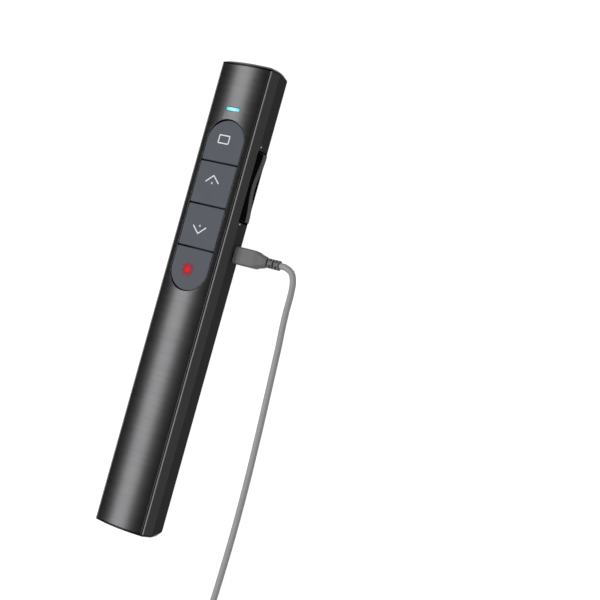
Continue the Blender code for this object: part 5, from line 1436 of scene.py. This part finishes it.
def make_usb_plug():
    """The moulding of the plug on the lead's far end, with grip grooves across it."""
    centre = (USB_PLUG_X, USB_PLUG_Z)
    body = rounded_rectangle(centre, *USB_PLUG_SIZE, FINE_CORNER_STEPS)
    stem = rounded_rectangle(centre, *USB_RELIEF_SIZE, FINE_CORNER_STEPS)
    back = USB_PLUG_Y - USB_RELIEF_LENGTH
    front = back - USB_PLUG_LENGTH
    stations = [*rim(USB_PLUG_Y, 1, stem, PLUG_EDGE_ROUND)[::-1], (back, stem)]
    stations += rim(back, 1, body, USB_PLUG_EDGE_ROUND, ROUND_STEPS)[::-1]
    for y in reversed(spaced(USB_GRIP_COUNT, USB_GRIP_PITCH, (back + front) / 2)):
        for step in np.linspace(-1, 1, USB_GRIP_STEPS + 1):
            held = USB_GRIP_DEPTH * (1 - eased(step))
            stations.append((y - step * USB_GRIP_PITCH / 3, inset(body, held)))
    stations += rim(front, -1, body, USB_PLUG_EDGE_ROUND, ROUND_STEPS)
    build = loft("Y", stations)
    return add_piece("usb_plug_moulding", build, "plug_grey", "charging_lead", "usb_plug_body")


def make_tie():
    """The woven hook band round the coil, with its free end laid back on top."""
    low, high, (x, y, z), half = box_of("cord_tie")
    outer = rounded_rectangle((x, z), half[0], half[2], 2 * TIE_THICKNESS)
    band = hoop("Y", outer, inset(outer, TIE_THICKNESS), low[1], high[1], TIE_EDGE_ROUND)
    flap = rounded_rectangle((x + TIE_THICKNESS, y), *TIE_TAB_SIZE)
    tab = prism("Z", flap, high[2] - FITTING_ROOT, high[2] + TIE_TAB_THICKNESS, TIE_EDGE_ROUND / 2)
    build = worked(band, ("UNION", tab))
    return add_piece("cord_tie_band", build, "tie_black", "charging_lead", "cord_tie")


def make_lead(points):
    """The whole lead as one round cord."""
    curve = bpy.data.curves.new("charging_lead", "CURVE")
    curve.dimensions = "3D"
    curve.bevel_depth = CORD_DIAMETER / 2
    curve.bevel_resolution = CORD_SIDE_STEPS
    curve.use_fill_caps = True
    line = curve.splines.new("POLY")
    line.points.add(len(points) - 1)
    for spot, point in zip(line.points, points):
        spot.co = (*point, 1.0)
    curve.materials.append(LOOK["cord_grey"])
    lead = put("charging_lead", curve)
    declare(lead, "charging_lead", "cord_grey", "charging_cord", "cord_coil", "cord_lead_out")
    return lead


# Stage and light


def make_stage():
    """A pale floor that shows as white, in gloss and glass too, and keeps the object's shadow."""
    bpy.ops.mesh.primitive_plane_add(size=FLOOR_WIDTH, location=(0, 0, -FLOOR_DROP))
    floor = bpy.context.object
    floor.name = "floor"
    pale = Finish("floor_pale", (0.30, 0.30, 0.30), 0.9, specular=0.0)
    seen = pale.node("LightPath", "Is Camera Ray")
    for ray in ("Is Glossy Ray", "Is Transmission Ray"):
        other = pale.node("LightPath", ray)
        seen = pale.node("Math", "Value", {0: seen, 1: other}, operation="MAXIMUM")
    lift = pale.node("Math", "Value", {0: seen, 1: FLOOR_LIFT}, operation="MULTIPLY")
    pale.feed({"Emission Color": (*WHITE, 1.0), "Emission Strength": lift})
    floor.data.materials.append(pale.material)


def make_light():
    """A pale even world, and soft rectangular lamps that face the object."""
    world = bpy.data.worlds.new("world")
    world.use_nodes = True
    sky = world.node_tree.nodes["Background"].inputs
    sky["Color"].default_value = (*WHITE, 1.0)
    sky["Strength"].default_value = WORLD_STRENGTH
    bpy.context.scene.world = world
    for name, place, size, power in LAMPS:
        lamp = bpy.data.lights.new(name, "AREA")
        lamp.shape = "RECTANGLE"
        lamp.size, lamp.size_y = size
        lamp.energy = power
        made = put(name, lamp)
        made.location = place
        made.rotation_euler = (-Vector(place)).to_track_quat("-Z", "Y").to_euler()


def make_camera():
    """The camera, from its place, the way it looks back from and its upright."""
    back = Vector(CAMERA_BACK).normalized()
    right = Vector(CAMERA_UP).cross(back).normalized()
    turn = Matrix((right, back.cross(right), back)).transposed().to_4x4()
    lens = bpy.data.cameras.new("camera")
    lens.lens = CAMERA_LENS_MM
    lens.sensor_width = CAMERA_SENSOR_MM
    lens.clip_start = CAMERA_CLIP_START
    camera = put("camera", lens)
    camera.matrix_world = Matrix.Translation(CAMERA_PLACE) @ turn
    bpy.context.scene.camera = camera


def main():
    """Builds the scene around the frame."""
    bpy.context.scene.view_settings.view_transform = "Standard"
    make_camera()
    make_finishes()
    plugs = [make_charge_plug(), make_usb_plug()]
    points = lead_points()
    lead = make_lead(points)
    make_cover()
    make_case()
    make_bezels()
    make_end_plates()
    make_keys()
    make_marks()
    make_light_bar()
    make_rocker()
    make_receiver()
    make_chip_pins()
    make_board_parts()
    make_screws()
    make_battery_parts()
    slots = {entry["node"]: entry["material_slot"] for entry in frame["record"]["subparts"]}
    for name, node in NODES.items():
        node.data.materials.clear()
        node.data.materials.append(LOOK[slots[name]])
        whole = node.modifiers.new("whole", "WELD")
        whole.merge_threshold = WELD_REACH
        smooth_over(node, NODE_EDGE)
    on_lead = [NODES["charge_plug_tip"], make_tie(), *make_connector("usb_plug", "charging_lead", -1)]
    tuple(points[0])
    sum(math.dist(a, b) for a, b in zip(points, points[1:]))
    make_stage()
    make_light()


main()
